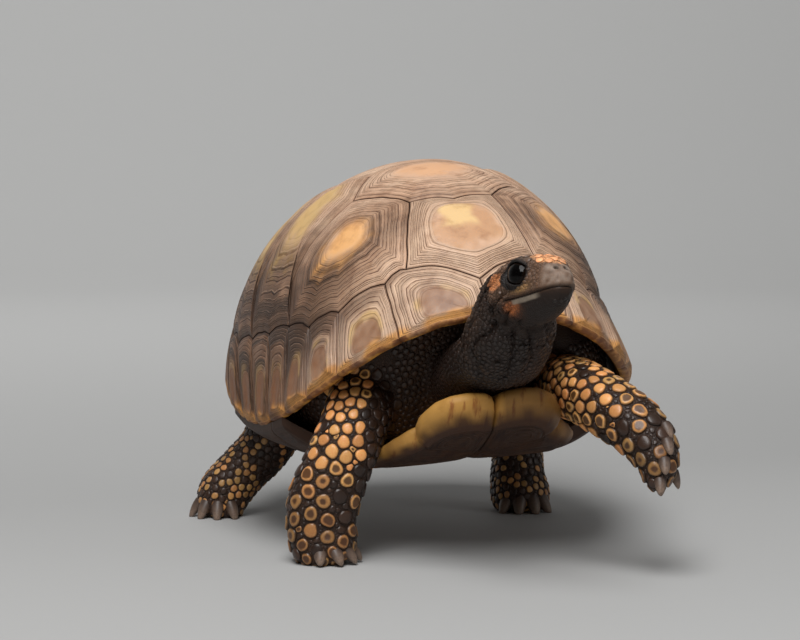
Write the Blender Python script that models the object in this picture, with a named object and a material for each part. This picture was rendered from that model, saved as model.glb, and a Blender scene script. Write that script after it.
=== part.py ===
"""A yellow-footed tortoise, life size, standing in mid-step with its left forefoot raised.

Metres, +Z up. It faces -Y and its left side is +X. The floor is z = 0.
The shell is described on a flat chart, a disc of radius 1: its centre is the top of the
dome, its edge is the free rim, and -v on the chart points at the head.
"""
import math

import bmesh
import bpy
from mathutils import Euler, Matrix, Vector

# ---- driving dimensions --------------------------------------------------------------
SHELL_LENGTH = 0.340
SHELL_WIDTH = 0.241
DOME_HEIGHT = 0.1564            # above the plane of the rim
PLAN_POWER = 2.34               # squareness of the shell seen from above
SIDE_POWER = 1.99               # squareness of the shell seen from the side
REAR_FULLNESS = 0.65            # how much squarer the shell is towards the tail
REAR_WIDENING = 0.176           # how much wider the rear of the plan is than the middle
RIM_ANGLE = math.radians(90.0)  # how far down the dome the rim lies, from the top
FRONT_ARCH = 0.089 / 0.17       # radians that the rim is raised over the neck
REAR_ARCH = 0.0232 / 0.17       # and over the tail
FRONT_FLARE = 0.073             # outward turn of the front lip, as a share of the radius
REAR_FLARE = 0.031
FLARE_FROM, FLARE_TO = 0.75, 1.05
TOP_SHIFT = -0.027              # lean of the dome's top along the body

PLATE_THICKNESS = 0.006
GAP = 0.0003                    # clearance between solids that touch
CHART_GAP = 0.0022              # the same clearance on the chart, where 1 is about 0.2 m
CHART_UNDERCUT = 0.006          # the walls of the shell's plates lean in by this, each side
CHART_GRID = 0.12               # spacing of the facets on the chart

RIM_PLANE_HEIGHT = 0.085        # the centre of the rim's plane above the floor
SHELL_PITCH = math.radians(4.8)
SHELL_ROLL = math.radians(-4.1)
# The centre of the shell in the part's frame, whose origin is under the middle of its box.
SHELL_AT = Vector((0.0102, 0.0393, RIM_PLANE_HEIGHT))

SKIN = (0.075, 0.055, 0.042)
HORN = (0.30, 0.21, 0.14)
CLAW = (0.20, 0.16, 0.12)
EYE = (0.01, 0.008, 0.006)
YELLOW_HORN = (0.45, 0.30, 0.12)

LEFT, RIGHT = 1, -1
SIDE_NAMES = {LEFT: "left", RIGHT: "right"}


# ---- scene ---------------------------------------------------------------------------
for old in list(bpy.data.objects):
    bpy.data.objects.remove(old, do_unlink=True)

tortoise = bpy.data.collections.new("tortoise")
cutters = bpy.data.collections.new("cutters")
bpy.context.scene.collection.children.link(tortoise)
bpy.context.scene.collection.children.link(cutters)

shell_frame = bpy.data.objects.new("shell_frame", None)
shell_frame.location = SHELL_AT
shell_frame.rotation_euler = Euler((SHELL_PITCH, SHELL_ROLL, 0.0))
tortoise.objects.link(shell_frame)


def material(name, colour, roughness):
    """A plain Principled material."""
    made = bpy.data.materials.new(name)
    made.use_nodes = True
    shader = made.node_tree.nodes["Principled BSDF"]
    shader.inputs["Base Color"].default_value = (*colour, 1.0)
    shader.inputs["Roughness"].default_value = roughness
    shader.inputs["Metallic"].default_value = 0.0
    return made


SKIN_MATERIAL = material("skin", SKIN, 0.7)
SHELL_MATERIAL = material("shell_horn", HORN, 0.55)
PLASTRON_MATERIAL = material("plastron_horn", YELLOW_HORN, 0.5)
CLAW_MATERIAL = material("claw_horn", CLAW, 0.5)
EYE_MATERIAL = material("eye", EYE, 0.08)


def add_object(name, bm, finish, parent=None, cutter=False):
    """Turn a bmesh into an object of the part, or into a cutter that the build leaves out."""
    bmesh.ops.recalc_face_normals(bm, faces=bm.faces)
    mesh = bpy.data.meshes.new(name)
    bm.to_mesh(mesh)
    bm.free()
    mesh.materials.append(finish)
    made = bpy.data.objects.new(name, mesh)
    if cutter:
        cutters.objects.link(made)
        made.hide_render = True
        made.display_type = "WIRE"
    else:
        tortoise.objects.link(made)
        mesh.shade_smooth()
        mesh.set_sharp_from_angle(angle=math.radians(40))
    if parent:
        made.parent = parent
    return made


def cut(target, tool, operation="DIFFERENCE"):
    """Part or hollow a solid with another one."""
    boolean = target.modifiers.new("cut_" + tool.name, "BOOLEAN")
    boolean.operation = operation
    boolean.solver = "EXACT"
    boolean.object = tool


# ---- the dome ------------------------------------------------------------------------
def ease(low, high, value):
    t = min(max((value - low) / (high - low), 0.0), 1.0)
    return t * t * (3.0 - 2.0 * t)


def dome_surface(u, v):
    """The outer face of the shell at a point of the chart, in the shell's frame."""
    reach = math.hypot(u, v)
    ahead = -v / reach if reach > 1e-9 else 1.0
    aside = u / reach if reach > 1e-9 else 0.0
    rim = RIM_ANGLE - FRONT_ARCH * max(ahead, 0.0) ** 2 - REAR_ARCH * max(-ahead, 0.0) ** 2
    angle = reach * rim
    x, y, z = math.sin(angle) * aside, -math.sin(angle) * ahead, math.cos(angle)
    half_width = SHELL_WIDTH / 2 * (1 + REAR_WIDENING * y)
    plan = abs(x / half_width) ** PLAN_POWER + abs(y / (SHELL_LENGTH / 2)) ** PLAN_POWER
    power = SIDE_POWER + REAR_FULLNESS * ease(0.42, 1.0, y)
    radius = (plan ** (power / PLAN_POWER) + abs(z / DOME_HEIGHT) ** power) ** (-1 / power)
    flare = FRONT_FLARE * min(max(ahead + 0.4, 0.0), 1.0) + REAR_FLARE * max(-ahead, 0.0)
    spread = radius * (1 + ease(FLARE_FROM, FLARE_TO, reach) * flare)
    lean = TOP_SHIFT * max(radius * z, 0.0) * (1 - reach ** 2)
    return Vector((spread * x, spread * y + lean, radius * z))


def dome(u, v, depth):
    """A point under the chart's point, that far in from the outer face."""
    step = 0.01
    along_u = dome_surface(u + step, v) - dome_surface(u - step, v)
    along_v = dome_surface(u, v + step) - dome_surface(u, v - step)
    inward = -along_u.cross(along_v).normalized()
    return dome_surface(u, v) + inward * depth


def polar(reach, degrees):
    """A chart point from its distance and its bearing, 0 at the head and 180 at the tail."""
    bearing = math.radians(degrees)
    return (reach * math.sin(bearing), -reach * math.cos(bearing))


# ---- the pattern of the shell's plates, for the left half ------------------------------
# Upper edge of the marginal ring, at each seam that meets it.
NECK_APEX = polar(0.870, 0)
FIRST_SHOULDER = polar(0.757, 19.8)       # vertebral 1, costal 1, marginal 1
MARGINAL_TOPS = [polar(0.776, 26), polar(0.765, 41.5), polar(0.735, 55), polar(0.690, 68),
                 polar(0.700, 82), polar(0.745, 96), polar(0.800, 109), polar(0.840, 123),
                 polar(0.855, 135), polar(0.850, 149)]
LAST_SHOULDER = polar(0.830, 158)         # vertebral 5, costal 4, marginal 11
TAIL_TOP = polar(0.825, 166)
TAIL_APEX = polar(0.800, 180)
# Bearings at which the seams between the marginals reach the rim.
MARGINAL_ENDS = [20.5, 37.0, 48.5, 59.5, 70.0, 81.5, 94.0, 108.0, 124.0, 143.0, 164.0]
FRONT_MARGINALS, BRIDGE_MARGINALS = 3, 7  # last marginals of the front group and the bridge
# Corners of the vertebral row.
VERTEBRAL_SEAMS = [(0.155, -0.39), (0.150, 0.02), (0.140, 0.32), (0.115, 0.60)]
FIRST_SEAM_DIP = (0.0, -0.45)             # the seam of vertebrals 1 and 2 bows to the head
VERTEBRAL_POINTS = [(0.245, -0.11), (0.275, 0.15), (0.250, 0.46)]
# Bends of the seams between the costals, from the vertebrals down to the marginals.
COSTAL_BENDS = [[(0.415, -0.102), (0.520, -0.130)], [(0.437, 0.192), (0.600, 0.175)],
                [(0.470, 0.500)]]
COSTAL_FEET = [3, 5, 7]                   # which marginal tops those seams come down to


def mirrored(points):
    return [(-u, v) for u, v in reversed(points)]


def vertebral_outline(index):
    """The whole outline of one of the five vertebrals, down its left side and up its right."""
    if index == 0:
        left = [NECK_APEX, FIRST_SHOULDER, VERTEBRAL_SEAMS[0]]
        return left + [FIRST_SEAM_DIP] + mirrored(left[1:])
    if index == 4:
        left = [VERTEBRAL_SEAMS[3], LAST_SHOULDER, TAIL_TOP, TAIL_APEX]
        return left + mirrored(left[:-1])
    left = [VERTEBRAL_SEAMS[index - 1], VERTEBRAL_POINTS[index - 1], VERTEBRAL_SEAMS[index]]
    start = [FIRST_SEAM_DIP] if index == 1 else []
    return start + left + mirrored(left)


def costal_outline(index):
    """One of the four costals of the left side."""
    tops = [FIRST_SHOULDER] + VERTEBRAL_POINTS + [LAST_SHOULDER]
    feet = [-1] + COSTAL_FEET + [len(MARGINAL_TOPS) - 1]
    rows = MARGINAL_TOPS[feet[index] + (1 if index == 0 else 0):feet[index + 1] + 1]
    ahead = COSTAL_BENDS[index - 1] if index > 0 else []
    behind = COSTAL_BENDS[index] if index < 3 else []
    outline = [tops[index], VERTEBRAL_SEAMS[index], tops[index + 1]] + behind
    return outline + list(reversed(rows)) + list(reversed(ahead))


def marginal_outline(first, last):
    """The marginals from first to last, counted from 0, as one strip of the left side."""
    ends = [0.0] + MARGINAL_ENDS
    tops = [NECK_APEX] + MARGINAL_TOPS + [TAIL_TOP]
    upper = tops[first:last + 2]
    if first == 0:
        upper.insert(1, FIRST_SHOULDER)
    if last == len(MARGINAL_TOPS):
        upper.insert(-1, LAST_SHOULDER)
    return upper + list(reversed(rim_arc(ends[first], ends[last + 1])))


def rim_arc(start, end, step=6.0):
    count = max(1, round(abs(end - start) / step))
    return [polar(1.0, start + (end - start) * i / count) for i in range(count + 1)]


def tail_outline():
    """The single plate over the tail."""
    left = [TAIL_TOP, TAIL_APEX]
    rim = rim_arc(MARGINAL_ENDS[-1], 360.0 - MARGINAL_ENDS[-1])
    return [TAIL_APEX] + mirrored(left[:1]) + list(reversed(rim)) + left[:1]


def gridded_blank(outline, spacing, trim, undercut):
    """A flat slab one unit thick, top face at 0, cut to the outline and ruled into squares.

    The top is trimmed by one amount and the underside by as much more as the undercut.
    """
    bm = bmesh.new()
    bm.faces.new([bm.verts.new((u, v, 0.0)) for u, v in outline])
    if trim:
        edge = bmesh.ops.inset_region(bm, faces=bm.faces[:], thickness=trim,
                                      use_even_offset=True, use_boundary=True)
        bmesh.ops.delete(bm, geom=edge["faces"], context="FACES")
        bmesh.ops.inset_region(bm, faces=bm.faces[:], thickness=undercut,
                               use_even_offset=True, use_boundary=True)
        under = [face for face in bm.faces if len(face.verts) == len(outline)]
        bmesh.ops.translate(bm, vec=(0.0, 0.0, -1.0), verts=under[0].verts)
        rim = [edge for edge in bm.edges if edge.is_boundary]
        bmesh.ops.edgeloop_fill(bm, edges=rim)
    else:
        grown = bmesh.ops.extrude_face_region(bm, geom=bm.faces[:])
        lower = [item for item in grown["geom"] if isinstance(item, bmesh.types.BMVert)]
        bmesh.ops.translate(bm, vec=(0.0, 0.0, -1.0), verts=lower)
    reach = max(max(abs(u), abs(v)) for u, v in outline)
    lines = int(reach / spacing)
    for i in range(-lines, lines + 1):
        for normal in (Vector((1, 0, 0)), Vector((0, 1, 0))):
            geometry = bm.verts[:] + bm.edges[:] + bm.faces[:]
            bmesh.ops.bisect_plane(bm, geom=geometry, dist=spacing * 1e-4,
                                   plane_co=normal * (i * spacing), plane_no=normal)
    return bm


def plate(name, outline):
    """Cut a flat blank to the outline, rule it, and bend it onto the dome."""
    bm = gridded_blank(outline, CHART_GRID, CHART_GAP / 2, CHART_UNDERCUT)
    for vertex in bm.verts:
        u, v, level = vertex.co
        vertex.co = dome(u, v, -level * PLATE_THICKNESS)
    return add_object(name, bm, SHELL_MATERIAL, shell_frame)


def carapace():
    """All the plates of the upper shell."""
    for index in range(5):
        plate(f"vertebral_{index + 1}", vertebral_outline(index))
    groups = {"front": (0, FRONT_MARGINALS - 1),
              "bridge": (FRONT_MARGINALS, BRIDGE_MARGINALS - 1),
              "rear": (BRIDGE_MARGINALS, len(MARGINAL_ENDS) - 1)}
    for side, label in SIDE_NAMES.items():
        for index in range(4):
            outline = costal_outline(index)
            plate(f"costal_{label}_{index + 1}",
                  outline if side == LEFT else mirrored(outline))
        for group, (first, last) in groups.items():
            outline = marginal_outline(first, last)
            plate(f"marginals_{group}_{label}",
                  outline if side == LEFT else mirrored(outline))
    plate("supracaudal", tail_outline())


# ---- lofted bodies -------------------------------------------------------------------
def spline_point(points, place):
    """A Catmull-Rom curve through rows of numbers, at a place counted in rows."""
    last = len(points) - 1
    index = min(int(place), last - 1)
    t = place - index
    rows = [points[min(max(index + k, 0), last)] for k in (-1, 0, 1, 2)]
    mixed = []
    for a, b, c, d in zip(*rows):
        mixed.append(0.5 * (2 * b + (c - a) * t + (2 * a - 5 * b + 4 * c - d) * t * t
                            + (3 * b - a - 3 * c + d) * t ** 3))
    return mixed


PER_SPAN = 2                    # sections to each pair of stations


def sections(stations, side, per_span=PER_SPAN):
    """Cross-sections along a limb: centre, frame and half-sizes.

    A station is x, y, z from the shell's centre, then half the width and the heights
    above and below the line.
    """
    count = (len(stations) - 1) * per_span
    rows = [spline_point(stations, i / per_span) for i in range(count + 1)]
    centres = [Vector(row[:3]) + SHELL_AT for row in rows]
    made = []
    for i, row in enumerate(rows):
        along = (centres[min(i + 1, count)] - centres[max(i - 1, 0)]).normalized()
        across = (Vector(side) - along * along.dot(Vector(side))).normalized()
        made.append((centres[i], along, across, along.cross(across), row[3:6]))
    return made


def ring_body(name, loops, finish, parent=None, cutter=False):
    """A closed body through rings of equally many points, with flat ends."""
    bm = bmesh.new()
    edges = []
    for i, points in enumerate(loops):
        is_end = i in (0, len(loops) - 1)
        made = bmesh.ops.create_circle(bm, cap_ends=is_end, segments=len(points), radius=1.0)
        for vertex, point in zip(made["verts"], points):
            vertex.co = point
        edges.append(list({edge for vertex in made["verts"] for edge in vertex.link_edges}))
    for ahead, behind in zip(edges, edges[1:]):
        bmesh.ops.bridge_loops(bm, edges=ahead + behind)
    return add_object(name, bm, finish, parent=parent, cutter=cutter)


def loft(name, rings, finish, grow=0.0, segments=14, power=2.3, floor=None, cutter=False):
    """A limb through its cross-sections, made larger all over by grow."""
    loops = []
    for i, (centre, along, across, lift, (width, up, down)) in enumerate(rings):
        push = {0: -grow, len(rings) - 1: grow}.get(i, 0.0)
        points = []
        for k in range(segments):
            c, s = math.cos(math.tau * k / segments), math.sin(math.tau * k / segments)
            size = (abs(c) ** power + abs(s) ** power) ** (-1 / power)
            height = (up if s > 0 else down) + grow
            place = centre + along * push + across * (c * size * (width + grow))
            place += lift * (s * size * height)
            if floor is not None:
                place.z = max(place.z, floor)
            points.append(place)
        loops.append(points)
    return ring_body(name, loops, finish, cutter=cutter)


def parted(rings, index):
    """Two runs of rings that share ring index, with the clearance between them."""
    centre, along, across, lift, sizes = rings[index]
    before = (centre - along * GAP / 2, along, across, lift, sizes)
    after = (centre + along * GAP / 2, along, across, lift, sizes)
    return rings[:index] + [before], [after] + rings[index + 1:]


def claws(prefix, foot, centre, bearings, twist, reach, size, drop):
    """Conical claws round a foot, which is hollowed for their roots.

    centre is from the shell's centre, bearings and twist are in degrees from -Y towards +X,
    and size is the length and the radius at the root.
    """
    for i, bearing in enumerate(bearings):
        out = Vector((math.sin(math.radians(bearing)), -math.cos(math.radians(bearing)), 0.0))
        turned = math.radians(bearing + twist)
        along = Vector((math.sin(turned), -math.cos(turned), -drop)).normalized()
        claw(f"{prefix}_claw_{i + 1}", foot, Vector(centre) + out * reach, along, *size)


def claw(name, foot, root, along, length, radius):
    """One claw, thick at the root, drooping and pointed."""
    stations = []
    for share, size in ((-0.2, 0.9), (0.0, 1.0), (0.55, 0.8), (1.0, 0.2)):
        sag = Vector((0.0, 0.0, -length * 0.16 * (share + 0.2) ** 2))
        stations.append([*(root + along * length * share + sag), radius * size,
                         radius * size * 0.9, radius * size * 0.7])
    across = along.cross(Vector((0.0, 0.0, 1.0)))
    rings = sections(stations, across, per_span=1)
    loft(name, rings, CLAW_MATERIAL, segments=6, power=2.0, floor=0.0)
    socket = loft(name + "_socket", rings, CLAW_MATERIAL, grow=GAP, segments=6, power=2.0,
                  floor=-2 * GAP, cutter=True)
    cut(foot, socket)


# ---- the lower shell and the trunk -----------------------------------------------------
PLASTRON_LEVEL = -0.0250        # underside of its middle, in the shell's frame
PLASTRON_THICKNESS = 0.010
GULAR_THICKNESS = 0.022
GULAR_RISE = 0.037
BRIDGE_THICKNESS = 0.006
BRIDGE_FROM, BRIDGE_TO = 62.0, 108.0      # bearings of the bridge on the rim
PLASTRON_GRID = 0.030
# The left half of its outline: the front lobe, then the rear lobe, either side of the bridge.
FRONT_LOBE = [(0.0, -0.146), (0.017, -0.152), (0.031, -0.146), (0.037, -0.128),
              (0.052, -0.113), (0.0575, -0.095), (0.060, -0.077)]
REAR_LOBE = [(0.054, 0.053), (0.046, 0.064), (0.046, 0.090), (0.043, 0.114),
             (0.034, 0.134), (0.018, 0.142), (0.0, 0.130)]


def rim_at(y):
    """Half-width and height of the free rim at a place along the shell."""
    low, high = 2.0, 178.0
    for _ in range(24):
        middle = (low + high) / 2
        if dome_surface(*polar(1.0, middle)).y < y:
            low = middle
        else:
            high = middle
    edge = dome_surface(*polar(1.0, low))
    return edge.x, edge.z


def plastron_heights(x, y):
    """Underside and top of the lower shell, in the shell's frame."""
    rim_x, rim_z = rim_at(y)
    level = PLASTRON_LEVEL + GULAR_RISE * max((-0.04 - y) / 0.11, 0.0) ** 2
    level += 0.010 * max((y - 0.09) / 0.05, 0.0) ** 2
    share = min(max((abs(x) - 0.050) / max(rim_x - 0.050, 0.02), 0.0), 1.0)
    thick = PLASTRON_THICKNESS + (GULAR_THICKNESS - PLASTRON_THICKNESS) * ease(-0.10, -0.15, y)
    thick += (BRIDGE_THICKNESS - thick) * share ** 3
    edge = min(rim_z, 0.02) - GAP - BRIDGE_THICKNESS
    level += (edge - level) * share ** 2.2
    return level, level + thick


def plastron():
    bearings = [BRIDGE_FROM + (BRIDGE_TO - BRIDGE_FROM) * i / 6 for i in range(7)]
    rim = [dome_surface(*polar(1.0, bearing)) for bearing in bearings]
    left = FRONT_LOBE + [(point.x * 0.985, point.y) for point in rim] + REAR_LOBE
    bm = gridded_blank(left + mirrored(left[1:-1]), PLASTRON_GRID, 0.0, 0.0)
    for vertex in bm.verts:
        x, y, level = vertex.co
        under, over = plastron_heights(x, y)
        vertex.co.z = over + level * (over - under)
    return add_object("plastron", bm, PLASTRON_MATERIAL, shell_frame)


TRUNK_SEGMENTS = 22
TRUNK_CLEARANCE = PLATE_THICKNESS + 8 * GAP
BELLY_CLEARANCE = 14 * GAP


def trunk():
    """The soft body that fills the shell, set back from its openings."""
    def reach(bearing):
        ahead = math.cos(bearing)
        return 0.93 - 0.25 * max(ahead, 0.0) ** 1.5 - 0.14 * max(-ahead, 0.0) ** 2

    loops = []
    bearings = [math.tau * k / TRUNK_SEGMENTS for k in range(TRUNK_SEGMENTS)]
    for share in (0.2, 0.5, 0.8, 1.0):
        loops.append([dome(*polar(share * reach(b), math.degrees(b)), TRUNK_CLEARANCE)
                      for b in bearings])
    edge = loops[-1]
    for spread, drop in ((1.02, 0.4), (0.98, 0.8), (0.93, 1.0), (0.72, 1.0), (0.5, 1.0),
                         (0.2, 1.0)):
        points = []
        for corner in edge:
            x, y = corner.x * min(spread, 1.0), corner.y * spread
            bottom = plastron_heights(x, y)[1] + BELLY_CLEARANCE
            points.append(Vector((x, y, corner.z + (bottom - corner.z) * drop)))
        loops.append(points)
    return ring_body("trunk", loops, SKIN_MATERIAL, parent=shell_frame)


# ---- neck and head -------------------------------------------------------------------
# Stations are x, y, z from the shell's centre, half-width, height above, height below.
NECK_AND_HEAD = [
    (0.0000, -0.0600, 0.0180, 0.0260, 0.0230, 0.0220),
    (0.0000, -0.1000, 0.0240, 0.0285, 0.0240, 0.0220),
    (0.0000, -0.1340, 0.0345, 0.0290, 0.0215, 0.0170),
    (0.0015, -0.1600, 0.0460, 0.0295, 0.0180, 0.0205),
    (0.0025, -0.1780, 0.0640, 0.0280, 0.0170, 0.0225),
    (0.0028, -0.1900, 0.0790, 0.0238, 0.0165, 0.0210),
    (0.0025, -0.2022, 0.0850, 0.0205, 0.0170, 0.0215),
    (0.0045, -0.2133, 0.0878, 0.0193, 0.0172, 0.0228),
    (0.0076, -0.2245, 0.0905, 0.0176, 0.0170, 0.0225),
    (0.0108, -0.2357, 0.0932, 0.0142, 0.0145, 0.0195),
    (0.0133, -0.2440, 0.0950, 0.0102, 0.0098, 0.0165),
    (0.0151, -0.2500, 0.0960, 0.0060, 0.0055, 0.0115),
]
HEAD_ACROSS = (0.96, 0.26, -0.08)
HEAD_START = 5                  # the station behind the jaws
EYE_STATION = 8
EYE_RADIUS = 0.0075
EYE_ASIDE, EYE_UP = 0.0112, 0.0045
MOUTH_LEVEL = -0.0062           # the mouth's line, from the head's axis at the eyes
MOUTH_BACK = -0.013             # how far behind the eyes the mouth reaches


def block(name, frame, low, high):
    """A box between two corners in a frame, kept as a cutter."""
    bm = bmesh.new()
    bmesh.ops.create_cube(bm, size=1.0)
    size = [b - a for a, b in zip(low, high)]
    middle = [(a + b) / 2 for a, b in zip(low, high)]
    place = frame @ Matrix.Translation(middle) @ Matrix.Diagonal((*size, 1.0))
    bmesh.ops.transform(bm, matrix=place, verts=bm.verts)
    return add_object(name, bm, SKIN_MATERIAL, cutter=True)


def head_and_neck(body):
    rings = sections(NECK_AND_HEAD, HEAD_ACROSS)
    neck_rings, head_rings = parted(rings, HEAD_START * PER_SPAN)
    loft("neck", neck_rings, SKIN_MATERIAL)
    cut(body, loft("neck_socket", neck_rings, SKIN_MATERIAL, grow=2 * GAP, cutter=True))
    head = loft("head", head_rings, SKIN_MATERIAL)
    jaw = loft("lower_jaw", head_rings, SKIN_MATERIAL)

    eyes_at, forward, left, up, _ = rings[EYE_STATION * PER_SPAN]
    axes = Matrix((forward, left, up)).transposed().to_4x4()
    frame = Matrix.Translation(eyes_at) @ axes
    far = 0.06
    mouth = block("mouth_cut", frame, (MOUTH_BACK, -far, -far), (far, far, MOUTH_LEVEL))
    cut(head, mouth)
    chin = block("jaw_keep", frame, (MOUTH_BACK + GAP, -far, -far),
                 (far, far, MOUTH_LEVEL - GAP))
    cut(jaw, chin, "INTERSECT")
    for side, label in SIDE_NAMES.items():
        place = frame @ Vector((0.0, side * EYE_ASIDE, EYE_UP))
        for name, radius in ((f"eye_{label}", EYE_RADIUS),
                             (f"eye_socket_{label}", EYE_RADIUS + GAP)):
            bm = bmesh.new()
            bmesh.ops.create_uvsphere(bm, u_segments=12, v_segments=8, radius=radius,
                                      matrix=Matrix.Translation(place))
            is_cutter = radius > EYE_RADIUS
            ball = add_object(name, bm, EYE_MATERIAL, cutter=is_cutter)
            if is_cutter:
                cut(head, ball)


# ---- legs and tail -------------------------------------------------------------------
FORELEG_RIGHT = [
    (-0.0540, -0.0620, 0.0180, 0.0190, 0.0180, 0.0180),
    (-0.0660, -0.0850, 0.0120, 0.0205, 0.0190, 0.0180),
    (-0.0740, -0.0970, -0.0040, 0.0208, 0.0190, 0.0180),
    (-0.0850, -0.1000, -0.0270, 0.0207, 0.0175, 0.0165),
    (-0.0925, -0.1000, -0.0460, 0.0220, 0.0165, 0.0160),
    (-0.0945, -0.0990, -0.0610, 0.0214, 0.0165, 0.0160),
    (-0.0925, -0.1000, -0.0750, 0.0205, 0.0175, 0.0175),
    (-0.0900, -0.1010, -0.0850, 0.0165, 0.0155, 0.0160),
]
FORELEG_LEFT = [
    (0.0560, -0.0700, 0.0180, 0.0190, 0.0180, 0.0180),
    (0.0560, -0.1050, 0.0200, 0.0190, 0.0190, 0.0190),
    (0.0580, -0.1320, 0.0190, 0.0185, 0.0190, 0.0180),
    (0.0670, -0.1540, 0.0125, 0.0185, 0.0185, 0.0170),
    (0.0800, -0.1710, 0.0020, 0.0175, 0.0175, 0.0160),
    (0.0875, -0.1820, -0.0090, 0.0155, 0.0150, 0.0145),
    (0.0890, -0.1890, -0.0190, 0.0125, 0.0130, 0.0125),
    (0.0875, -0.1930, -0.0275, 0.0085, 0.0095, 0.0090),
    (0.0865, -0.1950, -0.0335, 0.0045, 0.0050, 0.0050),
]
HINDLEG_RIGHT = [
    (-0.0600, 0.0660, 0.0100, 0.0200, 0.0200, 0.0200),
    (-0.0820, 0.0840, -0.0140, 0.0200, 0.0210, 0.0200),
    (-0.0980, 0.0910, -0.0400, 0.0180, 0.0180, 0.0180),
    (-0.1130, 0.0940, -0.0560, 0.0175, 0.0170, 0.0170),
    (-0.1245, 0.0950, -0.0700, 0.0180, 0.0180, 0.0170),
    (-0.1280, 0.0940, -0.0850, 0.0150, 0.0165, 0.0165),
]
HINDLEG_LEFT = [
    (0.0620, 0.0720, 0.0140, 0.0190, 0.0180, 0.0180),
    (0.0775, 0.0880, -0.0140, 0.0200, 0.0210, 0.0200),
    (0.0785, 0.0870, -0.0440, 0.0175, 0.0190, 0.0190),
    (0.0770, 0.0810, -0.0620, 0.0190, 0.0180, 0.0190),
    (0.0780, 0.0780, -0.0740, 0.0205, 0.0205, 0.0200),
    (0.0790, 0.0770, -0.0850, 0.0185, 0.0185, 0.0185),
]
TAIL = [
    (0.0000, 0.1050, 0.0240, 0.0110, 0.0100, 0.0100),
    (0.0030, 0.1380, 0.0180, 0.0105, 0.0090, 0.0090),
    (0.0060, 0.1590, -0.0010, 0.0080, 0.0075, 0.0075),
    (0.0100, 0.1710, -0.0240, 0.0035, 0.0035, 0.0035),
]
# Roots of the raised foot's claws, from the shell's centre.
RAISED_CLAW_ROOTS = [(0.0960, -0.1925, 0.0070), (0.0925, -0.1985, -0.0035),
                     (0.0890, -0.2005, -0.0155), (0.0868, -0.1985, -0.0270),
                     (0.0945, -0.1885, -0.0225)]
RIGHT_WRIST, LEFT_WRIST, HIND_ANKLE = 5, 4, 3


def leg(body, name, foot_name, stations, joint, side):
    """A leg set into the trunk and its foot, parted at the wrist or ankle."""
    upper, lower = parted(sections(stations, side), joint * PER_SPAN)
    loft(name, upper, SKIN_MATERIAL)
    cut(body, loft(name + "_socket", upper, SKIN_MATERIAL, grow=2 * GAP, cutter=True))
    return loft(foot_name, lower, SKIN_MATERIAL, floor=0.0)


def legs(body):
    broad = (0.97, -0.23, 0.0)
    foot = leg(body, "foreleg_right", "forefoot_right", FORELEG_RIGHT, RIGHT_WRIST,
               broad)
    claws("forefoot_right", foot, (-0.0905, -0.1010, -0.0770), (-31, 7, 41, 73, 105), 20.0,
          0.0142, (0.0090, 0.0034), 0.8)
    foot = leg(body, "foreleg_left", "forefoot_left", FORELEG_LEFT, LEFT_WRIST, broad)
    down = Vector((-0.12, -0.30, -0.94)).normalized()
    for i, root in enumerate(RAISED_CLAW_ROOTS):
        claw(f"forefoot_left_claw_{i + 1}", foot, Vector(root), down, 0.0082, 0.0027)
    foot = leg(body, "hindleg_right", "hindfoot_right", HINDLEG_RIGHT, HIND_ANKLE,
               (1.0, 0.0, 0.0))
    claws("hindfoot_right", foot, (-0.1270, 0.0940, -0.0760), (-88, -52, -16, 20), 0.0,
          0.0145, (0.0090, 0.0034), 1.2)
    foot = leg(body, "hindleg_left", "hindfoot_left", HINDLEG_LEFT, HIND_ANKLE,
               (1.0, 0.0, 0.0))
    claws("hindfoot_left", foot, (0.0790, 0.0770, -0.0760), (-50, -20, 10, 37), 0.0,
          0.0165, (0.0105, 0.0038), 0.9)


def tail(body):
    rings = sections(TAIL, (1.0, 0.0, 0.0))
    loft("tail", rings, SKIN_MATERIAL, segments=10)
    cut(body, loft("tail_socket", rings, SKIN_MATERIAL, grow=2 * GAP, segments=10,
                   cutter=True))


carapace()
plastron()
soft_body = trunk()
head_and_neck(soft_body)
legs(soft_body)
tail(soft_body)
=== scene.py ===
"""A life-size yellow-footed tortoise in mid-step, left forefoot raised: the finished surfaces.

Metres, +Z up. It faces -Y and its left side is +X. The shell is laid out on a flat chart, a
disc of radius 1 whose centre is the top of the dome, whose edge is the rim, and whose -v
points at the head.
"""
import itertools
import math

import bmesh
import bpy
import numpy as np
from mathutils import Euler, Matrix, Vector, noise
from mathutils.bvhtree import BVHTree
from mathutils.kdtree import KDTree


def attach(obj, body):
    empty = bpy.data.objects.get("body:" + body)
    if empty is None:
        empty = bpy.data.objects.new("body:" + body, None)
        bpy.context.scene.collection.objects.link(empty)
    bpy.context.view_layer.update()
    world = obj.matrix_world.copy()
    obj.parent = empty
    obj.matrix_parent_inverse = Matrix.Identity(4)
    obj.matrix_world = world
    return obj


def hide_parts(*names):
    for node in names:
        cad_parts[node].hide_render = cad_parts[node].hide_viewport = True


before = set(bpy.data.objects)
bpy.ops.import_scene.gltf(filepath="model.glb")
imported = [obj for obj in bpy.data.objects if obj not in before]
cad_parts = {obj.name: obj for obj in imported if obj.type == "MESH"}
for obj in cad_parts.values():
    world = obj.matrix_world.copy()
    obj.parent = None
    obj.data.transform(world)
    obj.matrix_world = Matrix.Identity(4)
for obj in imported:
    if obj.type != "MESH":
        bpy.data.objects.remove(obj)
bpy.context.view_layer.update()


# ---- the animal's own sizes ------------------------------------------------------------
SHELL_LENGTH = 0.340
SHELL_WIDTH = 0.241
DOME_HEIGHT = 0.1564
PLAN_POWER = 2.34
SIDE_POWER = 1.99
REAR_FULLNESS = 0.65
REAR_WIDENING = 0.176
RIM_ANGLE = math.radians(90.0)
FRONT_ARCH = 0.089 / 0.17
REAR_ARCH = 0.0232 / 0.17
FRONT_FLARE = 0.073
REAR_FLARE = 0.031
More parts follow.
